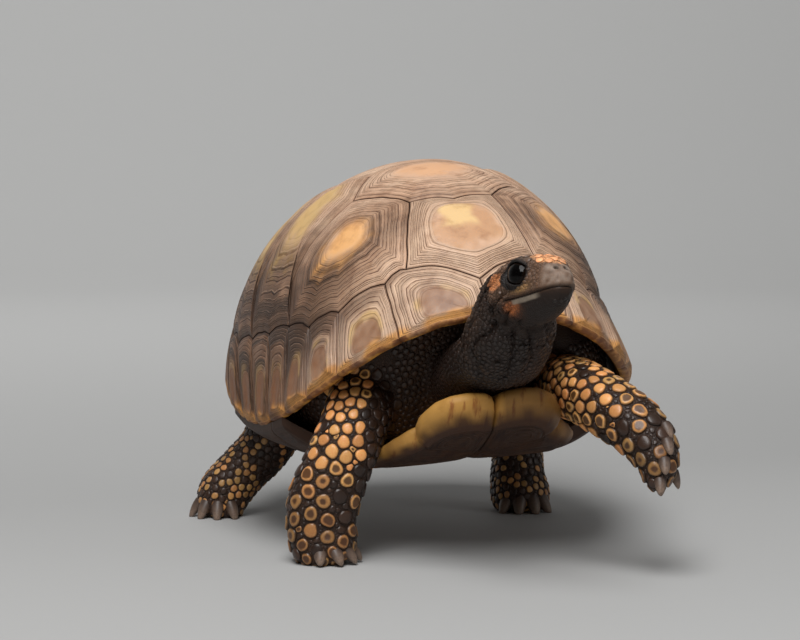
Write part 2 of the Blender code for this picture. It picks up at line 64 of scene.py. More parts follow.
FLARE_FROM, FLARE_TO = 0.75, 1.05
TOP_SHIFT = -0.027
PLATE_THICKNESS = 0.006
SEAM_HALF = 0.0005              # half the gap between two plates, on the chart
METRES_PER_CHART = 0.2          # about what one unit of the chart is on the real shell

RIM_PLANE_HEIGHT = 0.085
SHELL_PITCH = math.radians(4.8)
SHELL_ROLL = math.radians(-4.1)
SHELL_AT = Vector((0.0102, 0.0393, RIM_PLANE_HEIGHT))
SHELL_TURN = Euler((SHELL_PITCH, SHELL_ROLL, 0.0)).to_matrix()

COAT = 0.0008                   # the skin lies this far inside the solids, under its scales
LEFT, RIGHT = 1, -1
SIDE_NAMES = {LEFT: "left", RIGHT: "right"}


def srgb(red, green, blue):
    """A colour as seen on a screen, 0 to 255, made linear."""
    parts = []
    for part in (red, green, blue):
        part /= 255.0
        parts.append(part / 12.92 if part <= 0.04045 else ((part + 0.055) / 1.055) ** 2.4)
    return tuple(parts)


# ---- materials -------------------------------------------------------------------------
class Value:
    """A shader socket carrying a number, which sums can be written with."""

    def __init__(self, finish, socket):
        self.finish, self.socket = finish, socket

    def sum(self, operation, *terms):
        return self.finish.node("ShaderNodeMath", {"operation": operation},
                                dict(enumerate(terms)))

    def __add__(self, other):
        return self.sum("ADD", self, other)

    __radd__ = __add__

    def __sub__(self, other):
        return self.sum("SUBTRACT", self, other)

    def __mul__(self, other):
        return self.sum("MULTIPLY", self, other)

    def fract(self):
        return self.sum("FRACT", self)

    def size(self):
        return self.sum("ABSOLUTE", self)

    def rise(self, low, high):
        """0 below low, 1 above high, smooth between; low may be the greater of the two."""
        return self.finish.node("ShaderNodeMapRange", {"interpolation_type": "SMOOTHSTEP"},
                                {0: self, 1: low, 2: high, 3: 0.0, 4: 1.0})


class Finish:
    """A Principled material and the nodes that feed it."""

    def __init__(self, name, **fixed):
        self.material = bpy.data.materials.new(name)
        self.material.use_nodes = True
        self.tree = self.material.node_tree
        self.shader = self.tree.nodes["Principled BSDF"]
        for socket, setting in fixed.items():
            self.shader.inputs[socket.replace("_", " ")].default_value = setting

    def feed(self, socket, value):
        if isinstance(value, Value):
            self.tree.links.new(value.socket, socket)
        elif isinstance(value, tuple) and len(value) == 3 and socket.type == "RGBA":
            socket.default_value = (*value, 1.0)
        else:
            socket.default_value = value

    def node(self, kind, settings=None, inputs=None, output=0):
        """A node of that kind, set up first, then given its inputs by name or number."""
        made = self.tree.nodes.new(kind)
        for key, setting in (settings or {}).items():
            setattr(made, key, setting)
        for key, value in (inputs or {}).items():
            self.feed(made.inputs[key], value)
        return Value(self, made.outputs[output])

    def place(self):
        return self.node("ShaderNodeTexCoord", output="Object")

    def attribute(self, name, output="Fac"):
        return self.node("ShaderNodeAttribute", {"attribute_name": name}, output=output)

    def stretched(self, vector, scale):
        return self.node("ShaderNodeMapping", None, {"Vector": vector, "Scale": scale})

    def noise(self, vector, scale, detail=3.0, roughness=0.55):
        return self.node("ShaderNodeTexNoise", None,
                         {"Vector": vector, "Scale": scale, "Detail": detail,
                          "Roughness": roughness})

    def cells(self, vector, scale):
        """How far each place is from the edge of its cell."""
        return self.node("ShaderNodeTexVoronoi", {"feature": "DISTANCE_TO_EDGE"},
                         {"Vector": vector, "Scale": scale})

    def coats(self, colour, *coats):
        """A colour under others, each with its amount and, if not plain, its blend."""
        for amount, over, *blend in coats:
            mixing = {"data_type": "RGBA", "blend_type": (blend or ["MIX"])[0]}
            colour = self.node("ShaderNodeMix", mixing, {0: amount, 6: colour, 7: over}, 2)
        return colour

    def bump(self, height, strength, distance):
        return self.node("ShaderNodeBump", None,
                         {"Height": height, "Strength": strength, "Distance": distance})

    def end(self, **links):
        for socket, value in links.items():
            self.feed(self.shader.inputs[socket.replace("_", " ")], value)
        return self.material


# ---- sums and meshes that every part uses ------------------------------------------------
def ease(low, high, value):
    """0 up to low, 1 from high, smooth between; low may be the greater of the two."""
    t = np.clip((value - low) / (high - low), 0.0, 1.0)
    return t * t * (3.0 - 2.0 * t)


def bell(distance, width):
    return np.exp(-(distance / width) ** 2)


def unit(vectors):
    """Each vector at length 1."""
    return vectors / np.linalg.norm(vectors, axis=-1, keepdims=True)


def noise_at(points, frequency, offset=(0.0, 0.0, 0.0)):
    """Smooth noise from -1 to 1 at each point."""
    offset = Vector(offset)
    return np.array([noise.noise(Vector(point) * frequency + offset) for point in points])


def saved(bm, name):
    """The bmesh as a mesh of that name; the bmesh is freed."""
    mesh = bpy.data.meshes.new(name)
    bm.to_mesh(mesh)
    bm.free()
    return mesh


def surface_tree(mesh):
    """Finds the nearest place on a mesh."""
    bm = bmesh.new()
    bm.from_mesh(mesh)
    tree = BVHTree.FromBMesh(bm)
    bm.free()
    return tree


def nearest_points(places, wanted, count):
    """For each wanted place, the numbers of that many places nearest to it."""
    tree = KDTree(len(places))
    for i, place in enumerate(places):
        tree.insert(Vector(place), i)
    tree.balance()
    return np.array([[hit[1] for hit in tree.find_n(Vector(place), count)] for place in wanted])


# ---- the dome --------------------------------------------------------------------------
CHART_STEP = 0.01               # the surface's slope is taken over this much of the chart


def dome_surface(u, v):
    """The outer face of the shell at points of the chart, in the shell's frame."""
    reach = np.hypot(u, v)
    safe = np.maximum(reach, 1e-9)
    ahead, aside = -v / safe, u / safe
    rim = RIM_ANGLE - FRONT_ARCH * np.maximum(ahead, 0.0) ** 2
    rim -= REAR_ARCH * np.maximum(-ahead, 0.0) ** 2
    angle = reach * rim
    x, y, z = np.sin(angle) * aside, -np.sin(angle) * ahead, np.cos(angle)
    half_width = SHELL_WIDTH / 2 * (1 + REAR_WIDENING * y)
    plan = abs(x / half_width) ** PLAN_POWER + abs(y / (SHELL_LENGTH / 2)) ** PLAN_POWER
    power = SIDE_POWER + REAR_FULLNESS * ease(0.42, 1.0, y)
    radius = (plan ** (power / PLAN_POWER) + abs(z / DOME_HEIGHT) ** power) ** (-1 / power)
    flare = FRONT_FLARE * np.clip(ahead + 0.4, 0.0, 1.0) + REAR_FLARE * np.maximum(-ahead, 0.0)
    spread = radius * (1 + ease(FLARE_FROM, FLARE_TO, reach) * flare)
    lean = TOP_SHIFT * np.maximum(radius * z, 0.0) * (1 - reach ** 2)
    return np.stack([spread * x, spread * y + lean, radius * z], axis=-1)


def dome_normal(u, v):
    along_u = dome_surface(u + CHART_STEP, v) - dome_surface(u - CHART_STEP, v)
    along_v = dome_surface(u, v + CHART_STEP) - dome_surface(u, v - CHART_STEP)
    return unit(np.cross(along_u, along_v))


def on_dome(chart, share, relief):
    """World points: share goes from 0 at the outer face to 1 at the inner one."""
    u, v = chart[:, 0], chart[:, 1]
    height = relief - share * PLATE_THICKNESS
    return to_world(dome_surface(u, v) + dome_normal(u, v) * height[:, None])


def to_world(points):
    """From the shell's frame to the room's."""
    return points @ np.array(SHELL_TURN).T + np.array(SHELL_AT)


def polar(reach, degrees):
    """A place on the chart: its reach from the middle and its bearing from the head."""
    bearing = math.radians(degrees)
    return (reach * math.sin(bearing), -reach * math.cos(bearing))


# ---- the pattern of the shell's plates, for the left half --------------------------------
NECK_APEX = polar(0.870, 0)
FIRST_SHOULDER = polar(0.757, 19.8)
MARGINAL_TOPS = [polar(0.776, 26), polar(0.765, 41.5), polar(0.735, 55), polar(0.690, 68),
                 polar(0.700, 82), polar(0.745, 96), polar(0.800, 109), polar(0.840, 123),
                 polar(0.855, 135), polar(0.850, 149)]
LAST_SHOULDER = polar(0.830, 158)
TAIL_TOP = polar(0.825, 166)
TAIL_APEX = polar(0.800, 180)
MARGINAL_ENDS = [20.5, 37.0, 48.5, 59.5, 70.0, 81.5, 94.0, 108.0, 124.0, 143.0, 164.0]
FRONT_MARGINALS, BRIDGE_MARGINALS = 3, 7
VERTEBRAL_SEAMS = [(0.155, -0.39), (0.150, 0.02), (0.140, 0.32), (0.115, 0.60)]
FIRST_SEAM_DIP = (0.0, -0.45)
VERTEBRAL_POINTS = [(0.245, -0.11), (0.275, 0.15), (0.250, 0.46)]
COSTAL_BENDS = [[(0.415, -0.102), (0.520, -0.130)], [(0.437, 0.192), (0.600, 0.175)],
                [(0.470, 0.500)]]
COSTAL_FEET = [3, 5, 7]
# Where each plate began to grow: the centre of its rings.
VERTEBRAL_HEARTS = [(0.005, -0.630), (0.0, -0.110), (0.0, 0.17), (0.0, 0.46), (0.0, 0.70)]
VERTEBRAL_SHARES = [0.54, 0.48, 0.42, 0.42, 0.42]
COSTAL_HEARTS = [(0.355, -0.335), (0.325, 0.045), (0.385, 0.31), (0.37, 0.60)]
COSTAL_SHARES = [0.27, 0.34, 0.34, 0.34]
MARGINAL_HEART_REACH = [0.94, 0.94, 0.935, 0.925, 0.91, 0.905, 0.91, 0.925, 0.935, 0.94, 0.94]
MARGINAL_SHARE = 0.44
SCALLOP_DEPTH = 0.012
RIM_STEP = 2.0                  # degrees between the points of an outline along the rim


def mirrored(points):
    """The same outline on the other side, still going round the same way."""
    return [(-u, v) for u, v in reversed(points)]


def on_side(side, outline, heart):
    """A left plate's outline and heart, or the same for the right one."""
    return (outline if side == LEFT else mirrored(outline)), (heart[0] * side, heart[1])


def vertebral_outline(index):
    if index == 0:
        left = [NECK_APEX, FIRST_SHOULDER, VERTEBRAL_SEAMS[0]]
        return left + [FIRST_SEAM_DIP] + mirrored(left[1:])
    if index == 4:
        left = [VERTEBRAL_SEAMS[3], LAST_SHOULDER, TAIL_TOP, TAIL_APEX]
        return left + mirrored(left[:-1])
    left = [VERTEBRAL_SEAMS[index - 1], VERTEBRAL_POINTS[index - 1], VERTEBRAL_SEAMS[index]]
    start = [FIRST_SEAM_DIP] if index == 1 else []
    return start + left + mirrored(left)


def scalloped(tops):
    """The seam above the marginals: it arches up over each of them."""
    points = [tops[0]]
    for start, end in zip(tops, tops[1:]):
        for share in (0.3, 0.7):
            u, v = (a + (b - a) * share for a, b in zip(start, end))
            inward = 1 - SCALLOP_DEPTH / math.hypot(u, v)
            points.append((u * inward, v * inward))
        points.append(end)
    return points


def costal_outline(index):
    tops = [FIRST_SHOULDER] + VERTEBRAL_POINTS + [LAST_SHOULDER]
    feet = [0] + COSTAL_FEET + [len(MARGINAL_TOPS) - 1]
    rows = MARGINAL_TOPS[feet[index]:feet[index + 1] + 1]
    ahead = COSTAL_BENDS[index - 1] if index > 0 else []
    behind = COSTAL_BENDS[index] if index < 3 else []
    outline = [tops[index], VERTEBRAL_SEAMS[index], tops[index + 1]] + behind
    rows = scalloped(rows) if index else scalloped([FIRST_SHOULDER] + rows)[1:]
    return outline + list(reversed(rows)) + list(reversed(ahead))


def marginal_outline(index):
    ends = [0.0] + MARGINAL_ENDS
    tops = [NECK_APEX] + MARGINAL_TOPS + [TAIL_TOP]
    upper = scalloped(tops[index:index + 2])
    if index == 0:
        upper = [NECK_APEX] + scalloped([FIRST_SHOULDER, MARGINAL_TOPS[0]])
    if index == len(MARGINAL_TOPS):
        upper = [MARGINAL_TOPS[-1], LAST_SHOULDER, TAIL_TOP]
    return upper + list(reversed(rim_arc(ends[index], ends[index + 1])))


def rim_arc(start, end):
    count = max(1, round(abs(end - start) / RIM_STEP))
    return [polar(1.0, start + (end - start) * i / count) for i in range(count + 1)]


def tail_outline():
    rim = rim_arc(MARGINAL_ENDS[-1], 360.0 - MARGINAL_ENDS[-1])
    return [TAIL_APEX] + mirrored([TAIL_TOP]) + list(reversed(rim)) + [TAIL_TOP]


# ---- plates that have grown ring by ring -------------------------------------------------
ALONG_SEAM = 0.0017             # spacing of a plate's points along its seam
SEAM_DRIFT = 0.0016             # how far seams wander from their straight outlines
SEAM_DIP = 0.0007               # how far a plate sinks towards its seams
SHOULDER, SHOULDER_REACH = 0.0007, 0.010    # a plate's rise from its seam, and over what way
HUMP_REACH = 0.006              # the heart's hump starts this far in from the seam
CLOSE_RINGS, WIDE_RINGS = 0.0003, 0.0009    # rings this close have no grooves, or full ones
ROWS_PER_RING = 4
WALL_ROWS = 7
UNDERSIDE_ROWS = 4
HEART_ROWS = 6
FIRST_TOP_ROW = UNDERSIDE_ROWS + WALL_ROWS - 1


def evenly(corners, surface):
    """Points along a closed outline, close together on the real surface, corners kept."""
    points = []
    corners = np.array(corners)
    for start, end in zip(corners, np.roll(corners, -1, axis=0)):
        ends = surface(np.array([start, end]), np.zeros(2), np.zeros(2))
        count = max(1, round(np.linalg.norm(ends[1] - ends[0]) / ALONG_SEAM))
        points.extend(start + (end - start) * i / count for i in range(count))
    return np.array(points)


def outward(points):
    """The direction away from a closed outline at each of its points."""
    tangent = np.roll(points, -1, axis=0) - np.roll(points, 1, axis=0)
    normal = unit(np.stack([tangent[:, 1], -tangent[:, 0]], axis=-1))
    x, y = points.T
    turn = np.sum(x * np.roll(y, -1) - np.roll(x, -1) * y)
    return normal * np.sign(turn)


def rounded_loop(points, amount):
    """A closed outline with its corners worn off over that share of its length."""
    for _ in range(round((amount * len(points)) ** 2 / 3)):
        points = points / 2 + (np.roll(points, 1, axis=0) + np.roll(points, -1, axis=0)) / 4
    return points


def hashed(number, salt):
    """A number from 0 to 1 that looks random but is always the same for the same input."""
    return np.modf(abs(np.sin(np.floor(number) * 12.9898 + salt * 78.233) * 43758.5453))[0]


def wandering(points):
    """A slow drift, the same wherever two plates meet."""
    u, v = points[:, 0], points[:, 1]
    return np.stack([np.sin(23.0 * v + 9.0 * u) + 0.6 * np.sin(61.0 * v - 17.0 * u),
                     np.sin(27.0 * u - 7.0 * v) + 0.6 * np.sin(57.0 * u + 19.0 * v)], axis=-1)


def plate_rows(rings):
    """For every row of a plate: how grown it is, how far under the plate, how far it bulges.

    The rows run from the middle of the underside, up the wall, over the rings to the heart.
    Growth is 0 at the plate's edge, 1 where its rings end and 2 at its highest point.
    """
    ring_rows = rings * ROWS_PER_RING
    grow = np.array([*np.linspace(2.0, 0.0, UNDERSIDE_ROWS), *np.zeros(WALL_ROWS - 1),
                     *(np.arange(ring_rows + 1) / ring_rows),
                     *(1.0 + (np.arange(HEART_ROWS) + 1) / HEART_ROWS)])
    wall = slice(UNDERSIDE_ROWS, FIRST_TOP_ROW)
    climb = math.pi * (np.arange(WALL_ROWS - 1) + 1) / WALL_ROWS
    depth, bulge = np.zeros(len(grow)), np.zeros(len(grow))
    depth[:UNDERSIDE_ROWS] = 1.0
    depth[wall] = (1 + np.cos(climb)) / 2
    bulge[wall] = np.sin(climb)
    return grow, depth, bulge


def ring_numbers(flat, grow, rings, salt, scale):
    """Which ring each point lies on, as a number that rises smoothly from ring to ring."""
    u, v = flat.T
    widths = 0.35 + hashed(np.arange(rings) + 0.5, salt) ** 1.6 * 1.9
    bounds = np.concatenate([[0.0], np.cumsum(widths * np.linspace(0.75, 1.25, rings))])
    bounds /= bounds[-1]
    waver = (np.sin(u * 90.0 / scale + salt) * np.sin(v * 80.0 / scale)
             + 0.6 * np.sin(u * 210.0 / scale) * np.sin(v * 230.0 / scale))
    inner = np.clip(grow, 0, 1)
    inner = inner + waver * 0.006 * np.clip(inner * 8, 0, 1) * np.clip((1 - inner) * 8, 0, 1)
    return np.interp(np.clip(inner, 0, 1), bounds, np.arange(rings + 1))


def grown_plate(name, corners, heart, share, surface, colour, rings, hump=0.0022,
                relief=0.00034, free=None, bulge=0.0, scale=1.0, dip=SEAM_DIP,
                valley=0.0010, limit=None):
    """A horn plate: rings of growth round its heart, rounded walls and a closed underside.

    share is the size of the heart, where the plate began. hump is how far the heart stands
    above the seams, relief the depth of its rings, and dip and valley the depth and width of
    the fall to its seams. free says which points of an outline lie on a free edge, which
    bulges. limit keeps the heart within that reach of the chart's middle. scale is how long
    one unit of the dome's chart is on the chart in use.
    """
    salt = sum(map(ord, name)) % 97
    edge = evenly(corners, surface)
    edge = edge - outward(edge) * SEAM_HALF * scale
    loose = free(edge) if free else np.zeros(len(edge))
    loose = loose * ease(0.45, 0.95, rounded_loop(loose, 0.12))
    middle = edge.mean(axis=0)
    out = outward(edge)
    heart = np.array(heart)
    core = rounded_loop(edge - middle, 0.16) * share * 1.12 + heart
    if limit:
        core *= np.minimum(limit / np.linalg.norm(core, axis=-1, keepdims=True), 1.0)
        core = rounded_loop(core, 0.10)
    row_grow, row_depth, row_bulge = plate_rows(rings)
    rows, around = len(row_grow), len(edge)
    near, far = np.clip(row_grow, 0, 1)[:, None, None], np.clip(row_grow - 1, 0, 1)[:, None, None]
    chart = edge + (core - edge) * near + (heart - core) * far
    chart = chart + out * (row_bulge[:, None, None] * loose[None, :, None] * bulge)
    flat = chart.reshape(-1, 2)
    flat = flat + wandering(flat) * SEAM_DRIFT * scale

    grow, depth = np.repeat(row_grow, around), np.repeat(row_depth, around)
    top = np.repeat(np.arange(rows) >= FIRST_TOP_ROW, around)
    ring = ring_numbers(flat, grow, rings, salt, scale)
    width = np.linalg.norm(core - edge, axis=-1) * METRES_PER_CHART / scale
    if limit:
        width = rounded_loop(width, 0.12)
        inboard = -(out * edge).sum(axis=-1) / np.linalg.norm(edge, axis=-1)
        dip = np.tile(dip + (SEAM_DIP - dip) * ease(0.3, 0.8, inboard), rows)
    inward = grow * np.tile(width, rows)
    held = 1 - np.tile(loose, rows)
    plain = np.tile(rounded_loop(ease(WIDE_RINGS, CLOSE_RINGS, width / rings), 0.10), rows)
    groove = 1 - abs(np.sin(math.pi * ring)) ** 0.6
    strength = 0.30 + 1.0 * hashed(np.round(ring), salt + 1.0)
    groove = groove * strength * (grow <= 1.0) * np.clip(grow * 25, 0, 1) * (1 - plain)
    lift = -groove * relief - dip * held * np.exp(-inward / valley)
    lift += SHOULDER * held * np.sin(np.clip(inward / SHOULDER_REACH, 0, 1) * math.pi / 2)
    reached = np.clip(inward / HUMP_REACH, 0, 1)
    reached += (1 - reached) * np.clip(grow - 1, 0, 1)
    lift += hump * (1 - (1 - np.clip(grow, 0, 1)) ** 1.5) * reached
    lift -= hump * 0.25 * np.clip(grow - 1, 0, 1) ** 2
    # The rings' end isn't level, so the heart evens out to one height at its top.
    lift += (lift[-around:].mean() - lift) * np.where(top, ease(1.0, 2.0, grow), 0.0)
    seam_lift = lift[np.argmax(top) + np.tile(np.arange(around), rows)]
    lift = np.where(top, lift, seam_lift * (1 - depth))

    bm, row, column = wrapped(surface(flat, depth, lift).reshape(rows, around, 3))
    pick = row * around + column
    seam = held * np.where(top, np.exp(-inward / valley), 1.0)
    for key, values in (("ring", ring + salt * 40), ("grow", grow), ("seam", seam),
                        ("plain", plain)):
        layer = bm.verts.layers.float.new(key)
        for vertex, value in zip(bm.verts, values[pick]):
            vertex[layer] = value
    tints = colour(np.column_stack([flat, depth]), np.where(top, grow, -1.0), salt, ring)[pick]
    layer = bm.verts.layers.float_color.new("tint")
    for vertex, tint in zip(bm.verts, tints):
        vertex[layer] = (*tint, 1.0)
    return add_piece(name, closed(bm, name))


def wrapped(rows):
    """A closed bmesh through rows of points: each row joins up with itself."""
    bm = bmesh.new()
    count, around = rows.shape[:2]
    bmesh.ops.create_grid(bm, x_segments=around, y_segments=count - 1, size=1.0)
    grid = np.array([vertex.co[:2] for vertex in bm.verts])
    column = np.rint((grid[:, 0] + 1) / 2 * around).astype(int) % around
    row = np.rint((grid[:, 1] + 1) / 2 * (count - 1)).astype(int)
    for vertex, place in zip(bm.verts, rows[row, column]):
        vertex.co = place
    return bm, row, column


def closed(bm, name):
    """The finished mesh, with its seam and ends merged and its faces turned outwards."""
    bmesh.ops.remove_doubles(bm, verts=bm.verts, dist=1e-6)
    bmesh.ops.dissolve_degenerate(bm, edges=bm.edges, dist=1e-7)
    bmesh.ops.recalc_face_normals(bm, faces=bm.faces)
    mesh = saved(bm, name)
    mesh.shade_smooth()
    return mesh


def add_piece(name, mesh, material=None):
    """A new object in the scene, with that mesh and perhaps a material."""
    piece = bpy.data.objects.new(name, mesh)
    bpy.context.scene.collection.objects.link(piece)
    if material:
        mesh.materials.append(material)
    return piece


def hand_over(piece, slot, *nodes):
    """The piece rides on the animal and stands for those solids; slot is not used."""
    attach(piece, "root")
    if nodes:
        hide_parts(*nodes)
    return piece


# ---- colours of the shell ----------------------------------------------------------------
TAN = np.array(srgb(214, 176, 148))
PALE_TAN = np.array(srgb(232, 198, 170))
BROWN = np.array(srgb(118, 86, 62))
DARK_BROWN = np.array(srgb(60, 42, 30))
GREY_BROWN = np.array(srgb(168, 138, 118))
ORANGE = np.array(srgb(246, 184, 116))
TOP_ORANGE = np.array(srgb(224, 172, 130))
PALE_YELLOW = np.array(srgb(228, 192, 138))
PEACH = np.array(srgb(192, 146, 108))
OLIVE_YELLOW = np.array(srgb(216, 178, 112))
LIP_YELLOW = np.array(srgb(226, 162, 86))
UNDER_YELLOW = np.array(srgb(238, 176, 66))
HEART_BROWN = np.array(srgb(126, 86, 58))


def painted(colour, *coats):
    """A colour under coats of others, each with how much of it lies at each point."""
    for other, amount in coats:
        colour = colour + (other - colour) * np.clip(amount, 0, 1)[:, None]
    return colour


def cloud(points, size, salt):
    """Noise from 0 to 1 over the chart, in patches of about that size."""
    return np.array([0.5 + 0.5 * noise.noise(Vector((u / size, v / size, salt)))
                     for u, v in points[:, :2]])


def upper_colour(heart_colour, heart_reach, spread=0.0):
    """Colour of a vertebral or costal plate: tan above, banded brown low on the flanks, with
    painted light and shade.
    """
    def colour(points, grow, salt, ring):
        reach = np.hypot(points[:, 0], points[:, 1])
        mottle = cloud(points, 0.10, salt)
        streak = cloud(points, 0.035, salt + 9)
        # Low on the flanks the plates are browner and darker, partly their own banded colour and
        # partly painted shade; the pale tan above is partly painted light on the top.
        flank = ease(0.30, 0.60, reach + (streak - 0.5) * 0.1) * ease(-0.70, -0.34, points[:, 1])
        flank = flank * ease(1.15, 0.85, grow)
        band = hashed(ring + 0.5, salt + 3)
        heart = ease(0.9 - heart_reach, 1.3 + spread, grow + (mottle - 0.5) * 0.6
                     + (streak - 0.5) * 0.5)
        return painted(
            TAN, (PALE_TAN, (mottle - 0.42) * 2.2), (GREY_BROWN, (streak - 0.5) * 1.1),
            (BROWN, flank * (0.85 + 0.6 * (mottle - 0.5))),
            (DARK_BROWN, flank * (0.35 + 0.65 * band) * ease(0.20, 0.52, mottle + 0.3 * band)),
            (BROWN, 0.28 * (band > 0.62) * (1 - flank) * (grow < 1)),
            (heart_colour, heart * 0.85), (BROWN, (grow < -0.5) * 0.7))
    return colour


def first_vertebral_colour(points, grow, salt, ring):
    """Peach all over its broad heart, with a pale yellow blaze at the top of it."""
    base = upper_colour(PEACH, 0.15)(points, grow, salt, ring)
    mottle = cloud(points, 0.05, salt + 5)
    blaze = ease(0.075, 0.045, abs(points[:, 0] + 0.015) + (mottle - 0.5) * 0.04)
    blaze = blaze * ease(-0.655, -0.625, points[:, 1] + (mottle - 0.5) * 0.05)
    # The rings are washed paler all over: partly painted light, where the top of the dome faces
    # the light.
    return painted(base, (PALE_TAN, (0.30 + 0.4 * mottle) * (grow >= 0) * (grow < 1)),
                   (PALE_YELLOW, blaze * (grow > 0.97) * 0.95))


def marginal_colour(points, grow, salt, ring):
    """Brown hearts with a pale arc over them, grey-brown rings, a yellow lip and painted shade
    deep under the rim.
    """
    reach = np.hypot(points[:, 0], points[:, 1])
    mottle = cloud(points, 0.08, salt)
    streak = cloud(points, 0.03, salt + 9)
    ahead = ease(-0.35, -0.80, points[:, 1])
    band = hashed(ring + 0.5, salt + 3)
    core = ease(0.84, 1.0, grow + (streak - 0.5) * 0.16)
    arc = np.exp(-((grow - 0.84 + (streak - 0.5) * 0.1) / 0.12) ** 2) * ease(0.97, 0.92, reach)
    lip = ease(0.950 + 0.012 * ahead, 0.992, reach + (mottle - 0.5) * 0.06)
    under = grow < -0.5
    rim = under * ease(0.90, 0.95, reach) * ease(0.25, 0.55, points[:, 2])
    # The last coat is painted shade: the underside is painted dark inward of the rim.
    return painted(
        GREY_BROWN, (PALE_TAN, ahead * (mottle + 0.2)),
        (BROWN * 0.8, (1 - ahead) * (0.85 + 0.5 * (mottle - 0.4))),
        (DARK_BROWN, (1 - 0.75 * ahead) * (band > 0.45) * ease(1.0, 0.7, reach - grow * 0.2)
         * (grow < 1) * 0.9),
        (HEART_BROWN, core * (0.55 + 0.4 * streak)),
        (OLIVE_YELLOW, arc * 0.75 * ease(0.35, 0.6, mottle) * (0.3 + 0.7 * ahead)),
        (LIP_YELLOW, lip * (0.35 + 0.6 * ease(0.25, 0.55, mottle))),
        (UNDER_YELLOW, rim * (0.75 + 0.3 * mottle)),
        (DARK_BROWN, under * ease(0.90, 0.78, reach)))


def horn_finish():
    """Weathered horn: grooves and seams hold dirt, and ridges are rubbed pale."""
    horn = Finish("ringed_horn", Metallic=0.0)
    place = horn.place()
    ring, seam, grow = (horn.attribute(key) for key in ("ring", "seam", "grow"))
    tint = horn.attribute("tint", "Color")
    grain = horn.noise(place, 900.0, 4.0)
    blotch = horn.noise(place, 60.0, 5.0, 0.6)
    broken = horn.noise(place, 160.0, 3.0)
    within = grow.rise(1.02, 0.96)
    fine = ((ring * 3.0 + broken * 0.5).fract() - 0.5).size().rise(0.30, 0.5) * within
    line = ((ring + 0.5).fract() - 0.5).size().rise(0.17, 0.01) * within
    ridge = ((ring + 0.32).fract() - 0.5).size().rise(0.12, 0.0) * within
    faded = (grow.rise(1.0, 0.6) * 0.6 + 0.4) * (horn.attribute("plain") * -1 + 1)
    colour = horn.coats(
        tint, (grain.rise(0.3, 0.75) * 0.4, srgb(226, 196, 168), "SOFT_LIGHT"),
        (blotch.rise(0.48, 0.70) * 0.45, srgb(176, 148, 128), "MULTIPLY"),
        (ridge * broken.rise(0.36, 0.58) * 0.5, srgb(200, 164, 136)),
        (line * (broken.rise(0.22, 0.60) * 0.8 + 0.15) * faded, srgb(128, 100, 84), "MULTIPLY"),
        (fine * broken.rise(0.3, 0.65) * faded * 0.6, srgb(156, 128, 110), "MULTIPLY"),
        (seam.rise(0.15, 0.9) * 0.8, srgb(140, 112, 94), "MULTIPLY"))
    height = grain * 0.25 + fine * -0.35 + line * -0.7 + ridge * 0.3
    normal = horn.bump(height, 0.75, 0.0005)
    return horn.end(Base_Color=colour, Roughness=0.40 + grain * 0.2 + line * 0.12,
                    Normal=normal)


def carapace(finish):
    """Every plate of the upper shell, each a piece of its own."""
    colours = [first_vertebral_colour] + [upper_colour(TOP_ORANGE, 0.12)] * 4
    humps = [0.0026, -0.0008, 0.0, 0.0020, 0.0024]
    for index in range(5):
        piece = grown_plate(f"shell_vertebral_{index + 1}", vertebral_outline(index),
                            VERTEBRAL_HEARTS[index], VERTEBRAL_SHARES[index], on_dome,
                            colours[index], 11, hump=humps[index])
        finished_plate(piece, finish, f"vertebral_{index + 1}")
    colours = [upper_colour(ORANGE, 0.30, 0.15), upper_colour(OLIVE_YELLOW, 0.40),
               upper_colour(OLIVE_YELLOW, 0.40), upper_colour(OLIVE_YELLOW, 0.3)]
    for side, label in SIDE_NAMES.items():
        for index in range(4):
            outline, heart = on_side(side, costal_outline(index), COSTAL_HEARTS[index])
            piece = grown_plate(f"shell_costal_{label}_{index + 1}", outline, heart,
                                COSTAL_SHARES[index], on_dome, colours[index], 15,
                                relief=0.00045, hump=0.0024)
            finished_plate(piece, finish, f"costal_{label}_{index + 1}")
        marginals(side, label, finish)
    piece = grown_plate("shell_supracaudal", tail_outline(), polar(0.925, 180), 0.42, on_dome,
                        marginal_colour, 8, free=rim_side, bulge=0.010, limit=0.975)
    finished_plate(piece, finish, "supracaudal")


def finished_plate(piece, finish, node):
    """A plate of the upper shell takes its finish and stands for its solid."""
    piece.data.materials.append(finish)
    hand_over(piece, "shell_horn", node)


def rim_side(points):
    """1 where an outline runs along the shell's free rim."""
    return ease(0.975, 0.992, np.hypot(points[:, 0], points[:, 1]))


def marginals(side, label, finish):
    """The plates along one side of the rim, taller over the bridge."""
    ends = [0.0] + MARGINAL_ENDS
    for index in range(len(MARGINAL_ENDS)):
        middle = (ends[index] + ends[index + 1]) / 2
        outline, heart = on_side(side, marginal_outline(index),
                                 polar(MARGINAL_HEART_REACH[index], middle))
        flank = 2 <= index <= 7
        piece = grown_plate(f"shell_marginal_{label}_{index + 1}", outline, heart,
                            MARGINAL_SHARE, on_dome, marginal_colour, 9,
                            hump=0.0026 if flank else 0.0008,
                            limit=0.975, valley=0.0020 if flank else 0.0010,
                            free=rim_side, bulge=0.010, dip=0.0018 if flank else 0.0009)
        group = ("front" if index < FRONT_MARGINALS else
                 "bridge" if index < BRIDGE_MARGINALS else "rear")
        finished_plate(piece, finish, f"marginals_{group}_{label}")


# ---- stage, camera -----------------------------------------------------------------------
FLOOR_RADIUS = 2.4
WALL_BEND = 2.0                 # radius of the sweep from floor to wall
WALL_TOP = 3.8
BEND_STEPS = 12
AIR_GREY, AIR_STRENGTH = srgb(205, 205, 205), 0.25
UNDER_SHELL = (0.0, 0.0, 0.12)
